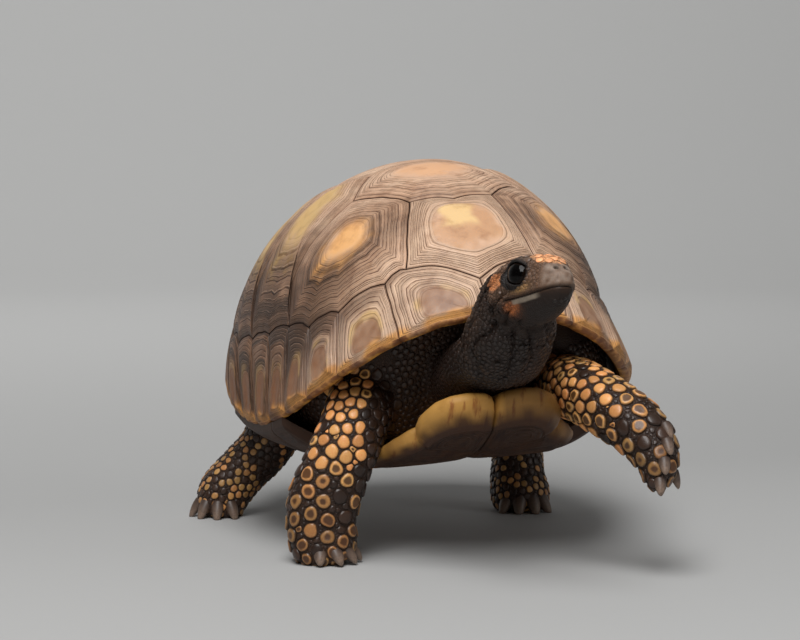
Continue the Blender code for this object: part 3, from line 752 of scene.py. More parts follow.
# Each light's name, place, width, power in watts, and what it points at.
SOFTBOXES = [("softbox_above", (-0.35, -0.85, 2.2), 1.2, 36.0, UNDER_SHELL),
             ("softbox_front", (-0.7, -1.8, 1.9), 0.9, 28.0, UNDER_SHELL),
             ("softbox_left", (2.0, -1.2, 1.2), 1.0, 4.0, UNDER_SHELL),
             ("softbox_wall", (0.1, 1.1, 2.6), 1.6, 80.0, (-0.6, 4.3, 1.6))]
CAMERA_PLACE = (-13.3, 6.4)     # azimuth and elevation seen from the shell's centre, degrees
CAMERA_AIM = (-12.496, 4.588)   # azimuth and fall of the line of sight, degrees
CAMERA_DISTANCE = 1.661
CAMERA_LENS, CAMERA_SENSOR = 115.2, 36.0    # millimetres


def studio():
    """A round pale floor that sweeps up into a wall, soft lights above, and the camera."""
    bm = bmesh.new()
    profile = [(0.0, 0.0), (FLOOR_RADIUS, 0.0)]
    for i in range(1, BEND_STEPS + 1):
        angle = math.radians(90 * i / BEND_STEPS)
        profile.append((FLOOR_RADIUS + WALL_BEND * math.sin(angle),
                        WALL_BEND * (1 - math.cos(angle))))
    profile.append((FLOOR_RADIUS + WALL_BEND, WALL_TOP))
    chain = [bm.verts.new((x, 0.0, z)) for x, z in profile]
    edges = [bm.edges.new(pair) for pair in zip(chain, chain[1:])]
    bmesh.ops.spin(bm, geom=chain + edges, cent=(0, 0, 0), axis=(0, 0, 1),
                   angle=math.tau, steps=64, use_merge=True)
    bmesh.ops.remove_doubles(bm, verts=bm.verts, dist=1e-5)
    bmesh.ops.recalc_face_normals(bm, faces=bm.faces)
    if not any(face.normal.z > 0.5 for face in bm.faces):
        bmesh.ops.reverse_faces(bm, faces=bm.faces)
    mesh = saved(bm, "studio_floor")
    mesh.shade_smooth()
    paper = Finish("studio_paper", Base_Color=(*srgb(176, 176, 175), 1.0), Roughness=0.75)
    floor = add_piece("studio_floor", mesh, paper.material)

    world = bpy.data.worlds.new("studio_air")
    world.use_nodes = True
    air = world.node_tree.nodes["Background"].inputs
    air["Color"].default_value, air["Strength"].default_value = (*AIR_GREY, 1.0), AIR_STRENGTH
    bpy.context.scene.world = world
    for light in SOFTBOXES:
        softbox(*light)

    camera = bpy.data.objects.new("camera", bpy.data.cameras.new("camera"))
    bpy.context.scene.collection.objects.link(camera)
    camera.data.lens = CAMERA_LENS
    camera.data.sensor_width = CAMERA_SENSOR
    camera.data.clip_end = 20.0
    place_az, place_el = (math.radians(a) for a in CAMERA_PLACE)
    camera.location = SHELL_AT + CAMERA_DISTANCE * Vector(
        (math.sin(place_az) * math.cos(place_el), -math.cos(place_az) * math.cos(place_el),
         math.sin(place_el)))
    aim_az, aim_el = (math.radians(a) for a in CAMERA_AIM)
    camera.rotation_euler = (math.pi / 2 - aim_el, 0.0, aim_az)
    bpy.context.scene.camera = camera
    bpy.context.scene.view_settings.view_transform = "Standard"


def softbox(name, location, size, power, target):
    """A square light that points at its target."""
    light = bpy.data.lights.new(name, "AREA")
    light.shape = "SQUARE"
    light.size = size
    light.energy = power
    lamp = bpy.data.objects.new(name, light)
    lamp.location = location
    aim = Vector(target) - Vector(location)
    lamp.rotation_euler = aim.to_track_quat("-Z", "Y").to_euler()
    bpy.context.scene.collection.objects.link(lamp)


# ---- flesh: lofts through the limbs, fused into one skin -----------------------------------
# Stations are x, y, z from the shell's centre, half-width, height above, height below.
NECK_AND_HEAD = [
    (0.0000, -0.0600, 0.0180, 0.0260, 0.0230, 0.0220),
    (0.0000, -0.1000, 0.0240, 0.0285, 0.0240, 0.0220),
    (0.0000, -0.1340, 0.0345, 0.0290, 0.0215, 0.0170),
    (0.0015, -0.1600, 0.0460, 0.0295, 0.0180, 0.0205),
    (0.0025, -0.1780, 0.0640, 0.0280, 0.0170, 0.0225),
    (0.0028, -0.1900, 0.0790, 0.0238, 0.0165, 0.0210),
    (0.0025, -0.2022, 0.0850, 0.0205, 0.0170, 0.0215),
    (0.0045, -0.2133, 0.0878, 0.0193, 0.0172, 0.0228),
    (0.0076, -0.2245, 0.0905, 0.0176, 0.0170, 0.0225),
    (0.0108, -0.2357, 0.0932, 0.0142, 0.0145, 0.0195),
    (0.0133, -0.2440, 0.0950, 0.0102, 0.0098, 0.0165),
    (0.0151, -0.2500, 0.0960, 0.0060, 0.0055, 0.0115),
]
FORELEG_RIGHT = [
    (-0.0540, -0.0620, 0.0180, 0.0190, 0.0180, 0.0180),
    (-0.0660, -0.0850, 0.0120, 0.0205, 0.0190, 0.0180),
    (-0.0740, -0.0970, -0.0040, 0.0208, 0.0190, 0.0180),
    (-0.0850, -0.1000, -0.0270, 0.0207, 0.0175, 0.0165),
    (-0.0925, -0.1000, -0.0460, 0.0220, 0.0165, 0.0160),
    (-0.0945, -0.0990, -0.0610, 0.0214, 0.0165, 0.0160),
    (-0.0925, -0.1000, -0.0750, 0.0205, 0.0175, 0.0175),
    (-0.0900, -0.1010, -0.0850, 0.0165, 0.0155, 0.0160),
]
FORELEG_LEFT = [
    (0.0560, -0.0700, 0.0180, 0.0190, 0.0180, 0.0180),
    (0.0560, -0.1050, 0.0200, 0.0190, 0.0190, 0.0190),
    (0.0580, -0.1320, 0.0190, 0.0185, 0.0190, 0.0180),
    (0.0670, -0.1540, 0.0125, 0.0185, 0.0185, 0.0170),
    (0.0800, -0.1710, 0.0020, 0.0175, 0.0175, 0.0160),
    (0.0875, -0.1820, -0.0090, 0.0155, 0.0150, 0.0145),
    (0.0890, -0.1890, -0.0190, 0.0125, 0.0130, 0.0125),
    (0.0875, -0.1930, -0.0275, 0.0085, 0.0095, 0.0090),
    (0.0865, -0.1950, -0.0335, 0.0045, 0.0050, 0.0050),
]
HINDLEG_RIGHT = [
    (-0.0600, 0.0660, 0.0100, 0.0200, 0.0200, 0.0200),
    (-0.0820, 0.0840, -0.0140, 0.0200, 0.0210, 0.0200),
    (-0.0980, 0.0910, -0.0400, 0.0180, 0.0180, 0.0180),
    (-0.1130, 0.0940, -0.0560, 0.0175, 0.0170, 0.0170),
    (-0.1245, 0.0950, -0.0700, 0.0180, 0.0180, 0.0170),
    (-0.1280, 0.0940, -0.0850, 0.0150, 0.0165, 0.0165),
]
HINDLEG_LEFT = [
    (0.0620, 0.0720, 0.0140, 0.0190, 0.0180, 0.0180),
    (0.0775, 0.0880, -0.0140, 0.0200, 0.0210, 0.0200),
    (0.0785, 0.0870, -0.0440, 0.0175, 0.0190, 0.0190),
    (0.0770, 0.0810, -0.0620, 0.0190, 0.0180, 0.0190),
    (0.0780, 0.0780, -0.0740, 0.0205, 0.0205, 0.0200),
    (0.0790, 0.0770, -0.0850, 0.0185, 0.0185, 0.0185),
]
TAIL = [
    (0.0000, 0.1050, 0.0240, 0.0110, 0.0100, 0.0100),
    (0.0030, 0.1380, 0.0180, 0.0105, 0.0090, 0.0090),
    (0.0060, 0.1590, -0.0010, 0.0080, 0.0075, 0.0075),
    (0.0100, 0.1710, -0.0240, 0.0035, 0.0035, 0.0035),
]
HEAD_ACROSS = (0.96, 0.26, -0.08)
BROAD = (0.97, -0.23, 0.0)
STRAIGHT = (1.0, 0.0, 0.0)
LIMBS = {"head": (NECK_AND_HEAD, HEAD_ACROSS), "foreleg_right": (FORELEG_RIGHT, BROAD),
         "foreleg_left": (FORELEG_LEFT, BROAD), "hindleg_right": (HINDLEG_RIGHT, STRAIGHT),
         "hindleg_left": (HINDLEG_LEFT, STRAIGHT), "tail": (TAIL, STRAIGHT)}
LIMB_NAMES = list(LIMBS)
HEAD, TAIL_LIMB = LIMB_NAMES.index("head"), LIMB_NAMES.index("tail")
FORELEGS = [LIMB_NAMES.index(name) for name in ("foreleg_right", "foreleg_left")]
HINDLEGS = [LIMB_NAMES.index(name) for name in ("hindleg_right", "hindleg_left")]
PER_SPAN = 6                    # cross-sections from one station to the next
EYE_STATION = 8
ROUND_LIMB, LIMB_SQUARENESS = 40, 2.3
EYE_RADIUS = 0.0088
EYE_ASIDE, EYE_UP, EYE_BACK = 0.0104, 0.0045, -0.0018
VOXEL = 0.00225
# The skin is made finer from here forward along the head's axis, within this distance of it.
FINER_FROM, FINER_TO, FINER_BLEND = ((-0.060, 0.05), (-0.021, 0.03)), 0.05, 0.002
PLASTRON_LEVEL = -0.0250
PLASTRON_THICKNESS = 0.010
GULAR_THICKNESS = 0.022
GULAR_RISE = 0.037
BRIDGE_THICKNESS = 0.006
GAP = 0.0003
TRUNK_CLEARANCE = PLATE_THICKNESS + 8 * GAP
BELLY_CLEARANCE = 14 * GAP


def spline_point(points, place):
    """A Catmull-Rom curve through rows of numbers, at a place counted in rows."""
    last = len(points) - 1
    index = min(int(place), last - 1)
    t = place - index
    rows = [points[min(max(index + k, 0), last)] for k in (-1, 0, 1, 2)]
    return [0.5 * (2 * b + (c - a) * t + (2 * a - 5 * b + 4 * c - d) * t * t
                   + (3 * b - a - 3 * c + d) * t ** 3) for a, b, c, d in zip(*rows)]


def sections(stations, side):
    """Cross-sections along a limb: centre, direction, two axes and half-sizes."""
    count = (len(stations) - 1) * PER_SPAN
    rows = [spline_point(stations, i / PER_SPAN) for i in range(count + 1)]
    centres = [Vector(row[:3]) + SHELL_AT for row in rows]
    made = []
    for i, row in enumerate(rows):
        along = (centres[min(i + 1, count)] - centres[max(i - 1, 0)]).normalized()
        across = (Vector(side) - along * along.dot(Vector(side))).normalized()
        made.append((centres[i], along, across, along.cross(across), row[3:6]))
    return made


def limb_loops(rings):
    """Points round each cross-section, with the ends drawn to a point inside."""
    around, power, loops = ROUND_LIMB, LIMB_SQUARENESS, []
    for centre, _, across, lift, (width, up, down) in rings:
        loop = []
        for k in range(around):
            c, s = math.cos(math.tau * k / around), math.sin(math.tau * k / around)
            size = (abs(c) ** power + abs(s) ** power) ** (-1 / power)
            place = centre + across * (c * size * (width - COAT))
            place += lift * (s * size * ((up if s > 0 else down) - COAT))
            place.z = max(place.z, 0.0)
            loop.append(place)
        loops.append(loop)
    first, last = rings[0][0], rings[-1][0].copy()
    last.z = max(last.z, 0.0)
    return np.array([[first] * around] + loops + [[last] * around])


def rim_at(y):
    """Half-width and height of the free rim at places along the shell."""
    bearings = np.linspace(2.0, 178.0, 300)
    edge = dome_surface(np.sin(np.radians(bearings)), -np.cos(np.radians(bearings)))
    return np.interp(y, edge[:, 1], edge[:, 0]), np.interp(y, edge[:, 1], edge[:, 2])


def plastron_heights(x, y):
    """Underside and top of the lower shell, in the shell's frame."""
    rim_x, rim_z = rim_at(y)
    level = PLASTRON_LEVEL + GULAR_RISE * np.maximum((-0.04 - y) / 0.11, 0.0) ** 2
    level = level + 0.010 * np.maximum((y - 0.09) / 0.05, 0.0) ** 2
    share = np.clip((abs(x) - 0.050) / np.maximum(rim_x - 0.050, 0.02), 0.0, 1.0)
    thick = PLASTRON_THICKNESS + (GULAR_THICKNESS - PLASTRON_THICKNESS) * ease(-0.10, -0.15, y)
    thick = thick + (BRIDGE_THICKNESS - thick) * share ** 3
    edge = np.minimum(rim_z, 0.02) - GAP - BRIDGE_THICKNESS
    level = level + (edge - level) * share ** 2.2
    return level, level + thick


def trunk_loops():
    """The soft body that fills the shell, set back from its openings."""
    bearings = np.linspace(0.0, math.tau, 88, endpoint=False)
    ahead = np.cos(bearings)
    reach = 0.93 - 0.25 * np.maximum(ahead, 0.0) ** 1.5 - 0.14 * np.maximum(-ahead, 0.0) ** 2
    loops = []
    for share in (0.001, 0.2, 0.4, 0.6, 0.8, 0.9, 1.0):
        u, v = share * reach * np.sin(bearings), -share * reach * np.cos(bearings)
        loops.append(dome_surface(u, v) - dome_normal(u, v) * (TRUNK_CLEARANCE + COAT))
    edge = loops[-1]
    for spread, drop in ((1.02, 0.4), (0.98, 0.8), (0.93, 0.97), (0.72, 1.0), (0.5, 1.0),
                         (0.2, 1.0), (0.001, 1.0)):
        x, y = edge[:, 0] * min(spread, 1.0), edge[:, 1] * spread
        bottom = plastron_heights(x, y)[1] + BELLY_CLEARANCE + COAT
        loops.append(np.stack([x, y, edge[:, 2] + (bottom - edge[:, 2]) * drop], axis=-1))
    return to_world(np.array(loops).reshape(-1, 3)).reshape(len(loops), -1, 3)


def head_axes():
    """The head's own frame at the eyes: forward, left, up."""
    centre, along, across, lift, _ = RINGS["head"][EYE_STATION * PER_SPAN]
    return np.array(centre), np.array([along, across, lift])


RINGS = {name: sections(*LIMBS[name]) for name in LIMBS}
HEAD_CENTRE, HEAD_AXES = head_axes()


def in_head(points):
    """Room to head: forward of the eyes, to the left, above the axis, in metres."""
    return (points - HEAD_CENTRE) @ HEAD_AXES.T


def from_head(points):
    return np.asarray(points) @ HEAD_AXES + HEAD_CENTRE


def limb_places(points):
    """Which limb each point lies on, how far along it (0 to 1) and the angle round it.

    Also how far out it is, in limb radii: above about 1.3 it is trunk.
    """
    best = np.full(len(points), 1e9)
    which = np.zeros(len(points), int)
    along = np.zeros(len(points))
    angle = np.zeros(len(points))
    for number, name in enumerate(LIMB_NAMES):
        rings = RINGS[name]
        centres = np.array([ring[0] for ring in rings])
        radii = np.array([sum(ring[4]) / 3 for ring in rings])
        axes = np.array([[ring[2], ring[3]] for ring in rings])
        gaps = np.linalg.norm(points[:, None] - centres, axis=-1) / radii
        nearest = gaps.argmin(axis=1)
        gap = gaps[np.arange(len(points)), nearest]
        flat = np.einsum("nij,nj->ni", axes[nearest], points - centres[nearest])
        better = gap < best
        best[better] = gap[better]
        which[better] = number
        along[better] = (nearest / (len(rings) - 1))[better]
        angle[better] = np.arctan2(flat[:, 1], flat[:, 0])[better]
    return which, along, angle, best


def evaluated(piece):
    """The piece's mesh with its modifiers applied."""
    bpy.context.view_layer.update()
    graph = bpy.context.evaluated_depsgraph_get()
    mesh = bpy.data.meshes.new_from_object(piece.evaluated_get(graph))
    bpy.data.objects.remove(piece)
    return mesh


def read_all(items, key, width, kind=float):
    """That property of every item, a row for each."""
    values = np.empty(len(items) * width, kind)
    items.foreach_get(key, values)
    return values.reshape(-1, width)


def coordinates(mesh):
    return read_all(mesh.vertices, "co", 3)


def vertex_normals(mesh):
    return read_all(mesh.vertex_normals, "vector", 3)


def move_to(mesh, points):
    mesh.vertices.foreach_set("co", points.ravel())
    mesh.update()


def round_axis(bm, reach_from, reach_to, outer):
    """Which vertices lie round the head's axis, between two places along it."""
    places = in_head(np.array([vertex.co[:] for vertex in bm.verts]))
    bm.verts.ensure_lookup_table()
    near = ((places[:, 0] > reach_from) & (places[:, 0] < reach_to)
            & (np.linalg.norm(places[:, 1:], axis=1) < outer))
    return [bm.verts[i] for i in np.flatnonzero(near)]


def fused_skin():
    """All the flesh as one closed surface, finer over the neck and finest on the face."""
    whole = bmesh.new()
    loops = [limb_loops(rings) for rings in RINGS.values()] + [trunk_loops()]
    for rows in loops:
        bm, _, _ = wrapped(rows)
        part = closed(bm, "part")
        whole.from_mesh(part)
        bpy.data.meshes.remove(part)
    piece = add_piece("fusing", saved(whole, "skin"))
    remesh = piece.modifiers.new("fuse", "REMESH")
    remesh.mode = "VOXEL"
    remesh.voxel_size = VOXEL
    smooth = piece.modifiers.new("soften", "SMOOTH")
    smooth.factor, smooth.iterations = 0.5, 5
    mesh = evaluated(piece)
    bm = bmesh.new()
    bm.from_mesh(mesh)
    for reach_from, outer in FINER_FROM:
        chosen = set(round_axis(bm, reach_from, FINER_TO, outer))
        edges = [edge for edge in bm.edges if edge.verts[0] in chosen and edge.verts[1] in chosen]
        bmesh.ops.subdivide_edges(bm, edges=edges, cuts=1, use_grid_fill=True)
        soft = round_axis(bm, reach_from - FINER_BLEND, FINER_TO, outer)
        for _ in range(4):
            bmesh.ops.smooth_vert(bm, verts=soft, factor=0.5, use_axis_x=True,
                                  use_axis_y=True, use_axis_z=True)
    bmesh.ops.triangulate(bm, faces=[face for face in bm.faces if len(face.verts) > 4])
    bm.to_mesh(mesh)
    bm.free()
    mesh.shade_smooth()
    return mesh


# ---- the head's features, in its own frame -------------------------------------------------
EYE_SPOT = (-0.0018, 0.0170, 0.0045)
MOUTH_CORNER = -0.0150
MOUTH_POINTS = ((-0.0161, -0.0079), (-0.0104, -0.0083), (-0.0043, -0.0086), (0.0023, -0.0084),
                (0.0089, -0.0079), (0.0157, -0.0071), (0.0220, -0.0062), (0.0300, -0.0056))
EAR_SPOT = (-0.0225, 0.0172, 0.0036)
NOSTRIL_SPOT = (0.0218, 0.0031, 0.0052)


def mouth_height(forward):
    """How high the line of the mouth lies, forward of the eyes by that much."""
    places, heights = zip(*MOUTH_POINTS)
    return np.interp(forward, places, heights)


def face_places(points):
    """Head places, and from them: forward, away from the middle, and up."""
    places = in_head(points)
    return places, places[:, 0], abs(places[:, 1]), places[:, 2]


def eye_distance(f, u):
    return np.hypot((f - EYE_SPOT[0]) * 0.94, (u - EYE_SPOT[2]) * 1.15)


def ear_distance(f, u):
    return np.hypot((f - EAR_SPOT[0]) / 1.8, u - EAR_SPOT[2])


def spot(places, centre, width, stretch=(1.0, 1.0, 1.0)):
    """1 at a spot on both sides of the head, fading out over a width."""
    one_side = np.column_stack([places[:, 0], abs(places[:, 1]), places[:, 2]])
    offset = (one_side - np.array(centre)) / np.array(stretch)
    return bell(np.linalg.norm(offset, axis=1), width)


def shaped_head(points, normals):
    """How far each point of the skin moves along its normal to make the face."""
    places, f, l, u = face_places(points)
    front = ease(-0.030, -0.020, f)
    from_eye = eye_distance(f, u)
    beside = ease(0.004, 0.008, l)
    move = -0.0040 * ease(0.0086, 0.0070, from_eye) * beside
    move += 0.0006 * bell(from_eye - 0.0100, 0.0010) * beside
    move += 0.0016 * spot(places, (0.001, 0.0125, 0.0135), 0.0052, (1.9, 1.0, 0.75))
    move += -0.0009 * spot(places, (0.0135, 0.0125, 0.0045), 0.0042)
    ear = ear_distance(f, u)
    move += (-0.0006 * ease(0.0046, 0.0036, ear) + 0.0004 * bell(ear - 0.0052, 0.0008)) * beside
    mouth = u - mouth_height(f)
    along_mouth = ease(MOUTH_CORNER - 0.001, MOUTH_CORNER + 0.002, f)
    facing = ease(0.35, -0.1, normals @ HEAD_AXES[2]) * ease(-0.95, -0.6, normals @ HEAD_AXES[2])
    move += -0.0016 * bell(mouth, 0.00055) * along_mouth * facing
    move += 0.0006 * bell(mouth - 0.0016, 0.0013) * along_mouth * facing
    move += -0.0004 * ease(0.0, -0.0012, mouth) * ease(-0.009, -0.004, mouth) * along_mouth
    move += 0.0010 * spot(places, (-0.0125, 0.0125, -0.0125), 0.0045)
    move += -0.0030 * spot(places, NOSTRIL_SPOT, 0.0012)
    move += 0.0005 * spot(places, NOSTRIL_SPOT, 0.0028)
    return (move + 0.00012 * noise_at(places, 420.0)) * front


def narrowed_nose(points):
    """The nose slopes down in front of the brow and narrows towards the nostrils."""
    places = in_head(points)
    f, u = places[:, 0], places[:, 2]
    front = ease(0.012, 0.027, f)
    places[:, 2] = np.where(u > 0, u * (1 - 0.30 * front), u)
    places[:, 1] = places[:, 1] * (1 - 0.16 * front * ease(-0.008, 0.004, u))
    places[:, 0] = f - 0.0024 * ease(0.021, 0.027, f) * ease(-0.001, 0.006, u)
    changed = from_head(places)
    return points + (changed - points) * ease(-0.02, 0.0, f)[:, None]


def neck_folds(points, along, angle, on_neck):
    """Loose skin: long folds down the neck, and bags where it leaves the shell."""
    twist = noise_at(points, 38.0)
    drift = noise_at(points, 90.0, (3.0, 1.0, 7.0))
    folds = 1 - abs(np.sin(angle * 5.0 + along * 9.0 + twist * 2.6))
    cross = 1 - abs(np.sin(along * 62.0 + twist * 3.0 + angle))
    amount = ease(0.20, 0.34, along) * ease(0.70, 0.60, along)
    sides = 0.25 + 0.75 * ease(0.9, -0.2, np.sin(angle))
    deep = -(0.0032 * folds ** 2.5 * sides + 0.0018 * cross ** 3 + 0.0006 * drift)
    return deep * amount * on_neck


# ---- markings, painted shade and highlight, the same on the skin and on its scales ---------
HIDE = np.array(srgb(48, 30, 19))
HIDE_PALE = np.array(srgb(78, 54, 36))
FACE = np.array(srgb(104, 78, 60))
# The throat's dark: partly the hide's own, partly painted shade under the head and neck.
THROAT_AND_SHADE = np.array(srgb(30, 17, 9))
SNOUT = np.array(srgb(150, 133, 120))
CROWN = np.array(srgb(236, 172, 120))
EAR = np.array(srgb(226, 146, 92))
JAW = np.array(srgb(190, 112, 60))
LOWER_BEAK = np.array(srgb(150, 138, 122))
SCALE_ORANGE = np.array(srgb(236, 166, 100))
SCALE_YELLOW = np.array(srgb(232, 182, 110))
SCALE_DARK = np.array(srgb(50, 33, 23))
FOOT_PINK = np.array(srgb(190, 146, 120))
# Painted shade in the gap along the mouth.
MOUTH_GAP_SHADE = np.array(srgb(18, 12, 10))
# Painted shade in the socket round each eye.
EYE_SOCKET_SHADE = np.array(srgb(26, 19, 16))
# Painted shade in the nostrils.
NOSTRIL_SHADE = np.array(srgb(16, 11, 10))


def flesh_colour(points):
    """Colour of the hide: dark, paler on the face, with orange crown, ears and jaws, and painted
    shade.
    """
    places, f, l, u = face_places(points)
    slow = 0.5 + 0.5 * noise_at(points, 55.0)
    fine = 0.5 + 0.5 * noise_at(points, 330.0)
    head = ease(-0.034, -0.022, f)
    level = u + 0.30 * np.maximum(f - 0.006, 0) + 0.003 * (fine - 0.5)
    crown = ease(0.0118, 0.0132, level) * ease(-0.002, 0.003, f) * ease(0.0225, 0.019, f)
    jaw = spot(places, (-0.0090, 0.0125, -0.0132), 0.0042, (1.5, 1.4, 0.8))
    # The brow ridge is painted paler: partly its own colour, partly a painted highlight where
    # light falls on it.
    brow = spot(places, (0.0, 0.0110, 0.0130), 0.0050, (2.2, 1.0, 0.5))
    throat = ease(-0.024, -0.034, f) * ease(-0.115, -0.085, f) * ease(0.02, 0.012, l)
    mouth = u - mouth_height(f)
    cheek = spot(places, (0.002, 0.016, -0.0035), 0.0040, (1.6, 1.5, 0.7))
    stripe = ease(0.0, -0.0006, mouth) * ease(-0.0036, -0.0026, mouth)
    stripe = stripe * ease(-0.0080, -0.0045, f) * ease(0.016, 0.011, f) * head
    chin = ease(-0.0002, -0.0014, mouth) * ease(-0.004, 0.004, f) * head
    lip = bell(mouth - 0.0016, 0.0012) * ease(-0.014, -0.008, f) * head
    # The dark coats under the head, round the eyes, along the mouth and in the nostrils are
    # painted shade; the pale coat on the brow is partly a painted highlight.
    return painted(
        HIDE, (HIDE_PALE, (slow - 0.35) * 1.2),
        (FACE, head * ease(-0.014, -0.002, u) * (0.5 + fine)),
        (THROAT_AND_SHADE, head * ease(-0.0075, -0.011, u) * 0.9),
        (SNOUT, ease(0.0155, 0.0215, f) * ease(-0.0060, -0.0045, u)
         * (1.5 * fine + 0.6 * slow - 0.35)),
        (CROWN, crown * ease(0.0105, 0.0085, l) * (0.6 + 0.7 * slow)),
        (EAR, ease(0.0056, 0.0040, ear_distance(f, u)) * ease(0.006, 0.010, l)
         * (0.65 + 0.5 * fine)),
        (JAW, jaw * 1.3 * (0.3 + fine)), (SNOUT, 0.5 * brow * (0.3 + fine)),
        (THROAT_AND_SHADE, throat * 0.85), (SCALE_YELLOW, 0.45 * cheek), (THROAT_AND_SHADE, chin * 0.8),
        (HIDE_PALE, lip * (0.35 + 0.5 * fine)), (LOWER_BEAK, stripe * (0.5 + 0.5 * fine)),
        (MOUTH_GAP_SHADE, bell(mouth, 0.0005) * head * ease(MOUTH_CORNER - 0.001, MOUTH_CORNER, f)),
        (EYE_SOCKET_SHADE, ease(0.0116, 0.0096, eye_distance(f, u)) * ease(0.005, 0.009, l) * head),
        (NOSTRIL_SHADE, 1.5 * spot(places, NOSTRIL_SPOT, 0.0013)))


def bare_beak(points):
    """1 on the smooth horn of the beak, 0 elsewhere."""
    _, f, _, u = face_places(points)
    mouth = u - mouth_height(f)
    upper = ease(0.013, 0.019, f) * ease(0.0095, 0.0070, u) * ease(-0.0130, -0.0110, u)
    lower = ease(-0.009, -0.005, f) * ease(0.001, -0.001, mouth)
    return np.maximum(upper, lower * ease(-0.0050, -0.0035, mouth))


def give_colours(mesh, colours):
    layer = mesh.attributes.new("tint", "FLOAT_COLOR", "POINT")
    layer.data.foreach_set("color", np.column_stack([colours, np.ones(len(colours))]).ravel())


def give_numbers(mesh, name, numbers):
    mesh.attributes.new(name, "FLOAT", "POINT").data.foreach_set("value", numbers)


def hide_finish():
    """Leathery skin between the scales."""
    hide = Finish("wrinkled_hide", IOR=1.38)
    place = hide.place()
    tint = hide.attribute("tint", "Color")
    grain = hide.noise(place, 700.0, 4.0)
    pebbles = hide.cells(place, 620.0)
    rough = hide.attribute("bare") * -0.8 + 1
    creases = hide.noise(hide.stretched(place, (1.0, 1.0, 0.35)), 170.0, 5.0, 0.65)
    colour = hide.coats(
        tint, (pebbles.rise(0.16, 0.02) * rough * 0.55, srgb(26, 18, 15)),
        (grain.rise(0.40, 0.75) * 0.35, srgb(200, 176, 156), "SOFT_LIGHT"))
    height = pebbles.rise(0.0, 0.25) * rough * 0.5 + creases * rough * 0.8 + grain * 0.2
    normal = hide.bump(height, 0.7, 0.0006)
    return hide.end(Base_Color=colour, Roughness=0.40 + grain * 0.25, Normal=normal)


EYE_PAINTED = math.radians(75)  # the eye's colours are laid out over this angle
LID_AROUND, LID_ROWS = 72, 26
LID_TILT = math.radians(16)
LID_WIDE, LID_TALL, LID_EDGE = (math.radians(angle) for angle in (66, 42, 104))
# The lids are painted darker than the face: painted shade round the eye.
LID_SHADE = 0.75                # the lids are this much darker than the face
LID_ROLL = 0.24                 # share of the rows that roll over at the opening


def eye_finish():
    """A dark brown iris round a black pupil, under a wet surface."""
    eye = Finish("dark_eye", Roughness=0.08, IOR=1.22)
    reach = eye.attribute("reach")
    iris = eye.noise(eye.place(), 900.0, 3.0)
    return eye.end(Base_Color=eye.coats(
        srgb(4, 3, 3), (reach.rise(0.42, 0.50) * (iris * 0.8), srgb(30, 19, 12)),
        (reach.rise(0.78, 0.9), srgb(10, 8, 7))))


def eye_line(side, ahead, up):
    """The centre of that side's eye, and a direction out of it, ahead and up by so much."""
    centre = Vector(from_head([EYE_BACK, side * EYE_ASIDE, EYE_UP]))
    return centre, Vector(HEAD_AXES.T @ np.array([ahead, side * 1.0, up])).normalized()


def eyes(finish):
    """Both eyeballs: spheres with a clear bulge over the iris."""
    for side, label in SIDE_NAMES.items():
        centre, axis = eye_line(side, 0.42, 0.06)
        bm = bmesh.new()
        bmesh.ops.create_uvsphere(bm, u_segments=48, v_segments=32, radius=EYE_RADIUS)
        turn = Vector((0, 0, 1)).rotation_difference(axis).to_matrix().to_4x4()
        layer = bm.verts.layers.float.new("reach")
        for vertex in bm.verts:
            off_axis = vertex.co.angle(Vector((0, 0, 1)))
            vertex[layer] = off_axis / EYE_PAINTED
            vertex.co *= 1.0 + 0.03 * math.exp(-(off_axis / 0.55) ** 2)
        bmesh.ops.transform(bm, matrix=Matrix.Translation(centre) @ turn, verts=bm.verts)
        piece = add_piece(f"eyeball_{label}", closed(bm, f"eyeball_{label}"), finish)
        hand_over(piece, "eye", f"eye_{label}")


def lids(finish):
    """A pair of wrinkled lids round each eye, as one rolled-edged rim on the eyeball."""
    around, rows = LID_AROUND, LID_ROWS
    for side, label in SIDE_NAMES.items():
        centre, axis = eye_line(side, 0.36, 0.08)
        ahead = Vector(HEAD_AXES[0])
        ahead = (ahead - axis * ahead.dot(axis)).normalized()
        upward = Vector(HEAD_AXES[2])
        upward = (upward - axis * upward.dot(axis) - ahead * upward.dot(ahead)).normalized()
        points = np.zeros((rows, around, 3))
        for k in range(around):
            phi = math.tau * k / around
            tilt = phi + LID_TILT
            open_at = 1 / math.hypot(math.cos(tilt) / LID_WIDE, math.sin(tilt) / LID_TALL)
            open_at *= 1 + 0.10 * max(math.cos(tilt), 0.0) ** 6
            for i in range(rows):
                t = i / (rows - 1)
                if t < LID_ROLL:
                    roll = t / LID_ROLL * math.pi * 0.8
                    polar_angle = open_at + 0.075 * (1 - math.sin(roll)) * 0.9
                    radius = EYE_RADIUS * 1.03 + 0.0007 * (1 - math.cos(roll))
                else:
                    share = (t - LID_ROLL) / 0.76
                    polar_angle = open_at + 0.02 + (LID_EDGE - open_at) * share
                    fold = 0.00022 * math.sin(share * 26 + 0.8 * math.sin(phi * 3))
                    radius = EYE_RADIUS * 1.03 + 0.00125 + fold * (1 - share)
                    radius += 0.0008 * math.exp(-((share - 0.22) / 0.12) ** 2)
                    radius -= 0.0014 * share
                out = (ahead * math.cos(phi) + upward * math.sin(phi)) * math.sin(polar_angle)
                points[i, k] = centre + (out + axis * math.cos(polar_angle)) * radius
        bm, _, _ = wrapped(points)
        mesh = closed(bm, f"eyelids_{label}")
        give_colours(mesh, flesh_colour(coordinates(mesh)) * LID_SHADE)
        piece = add_piece(f"eyelids_{label}", mesh, finish)
        thick = piece.modifiers.new("thickness", "SOLIDIFY")
        thick.thickness, thick.offset = 0.0004, -1.0
        hand_over(piece, "skin")


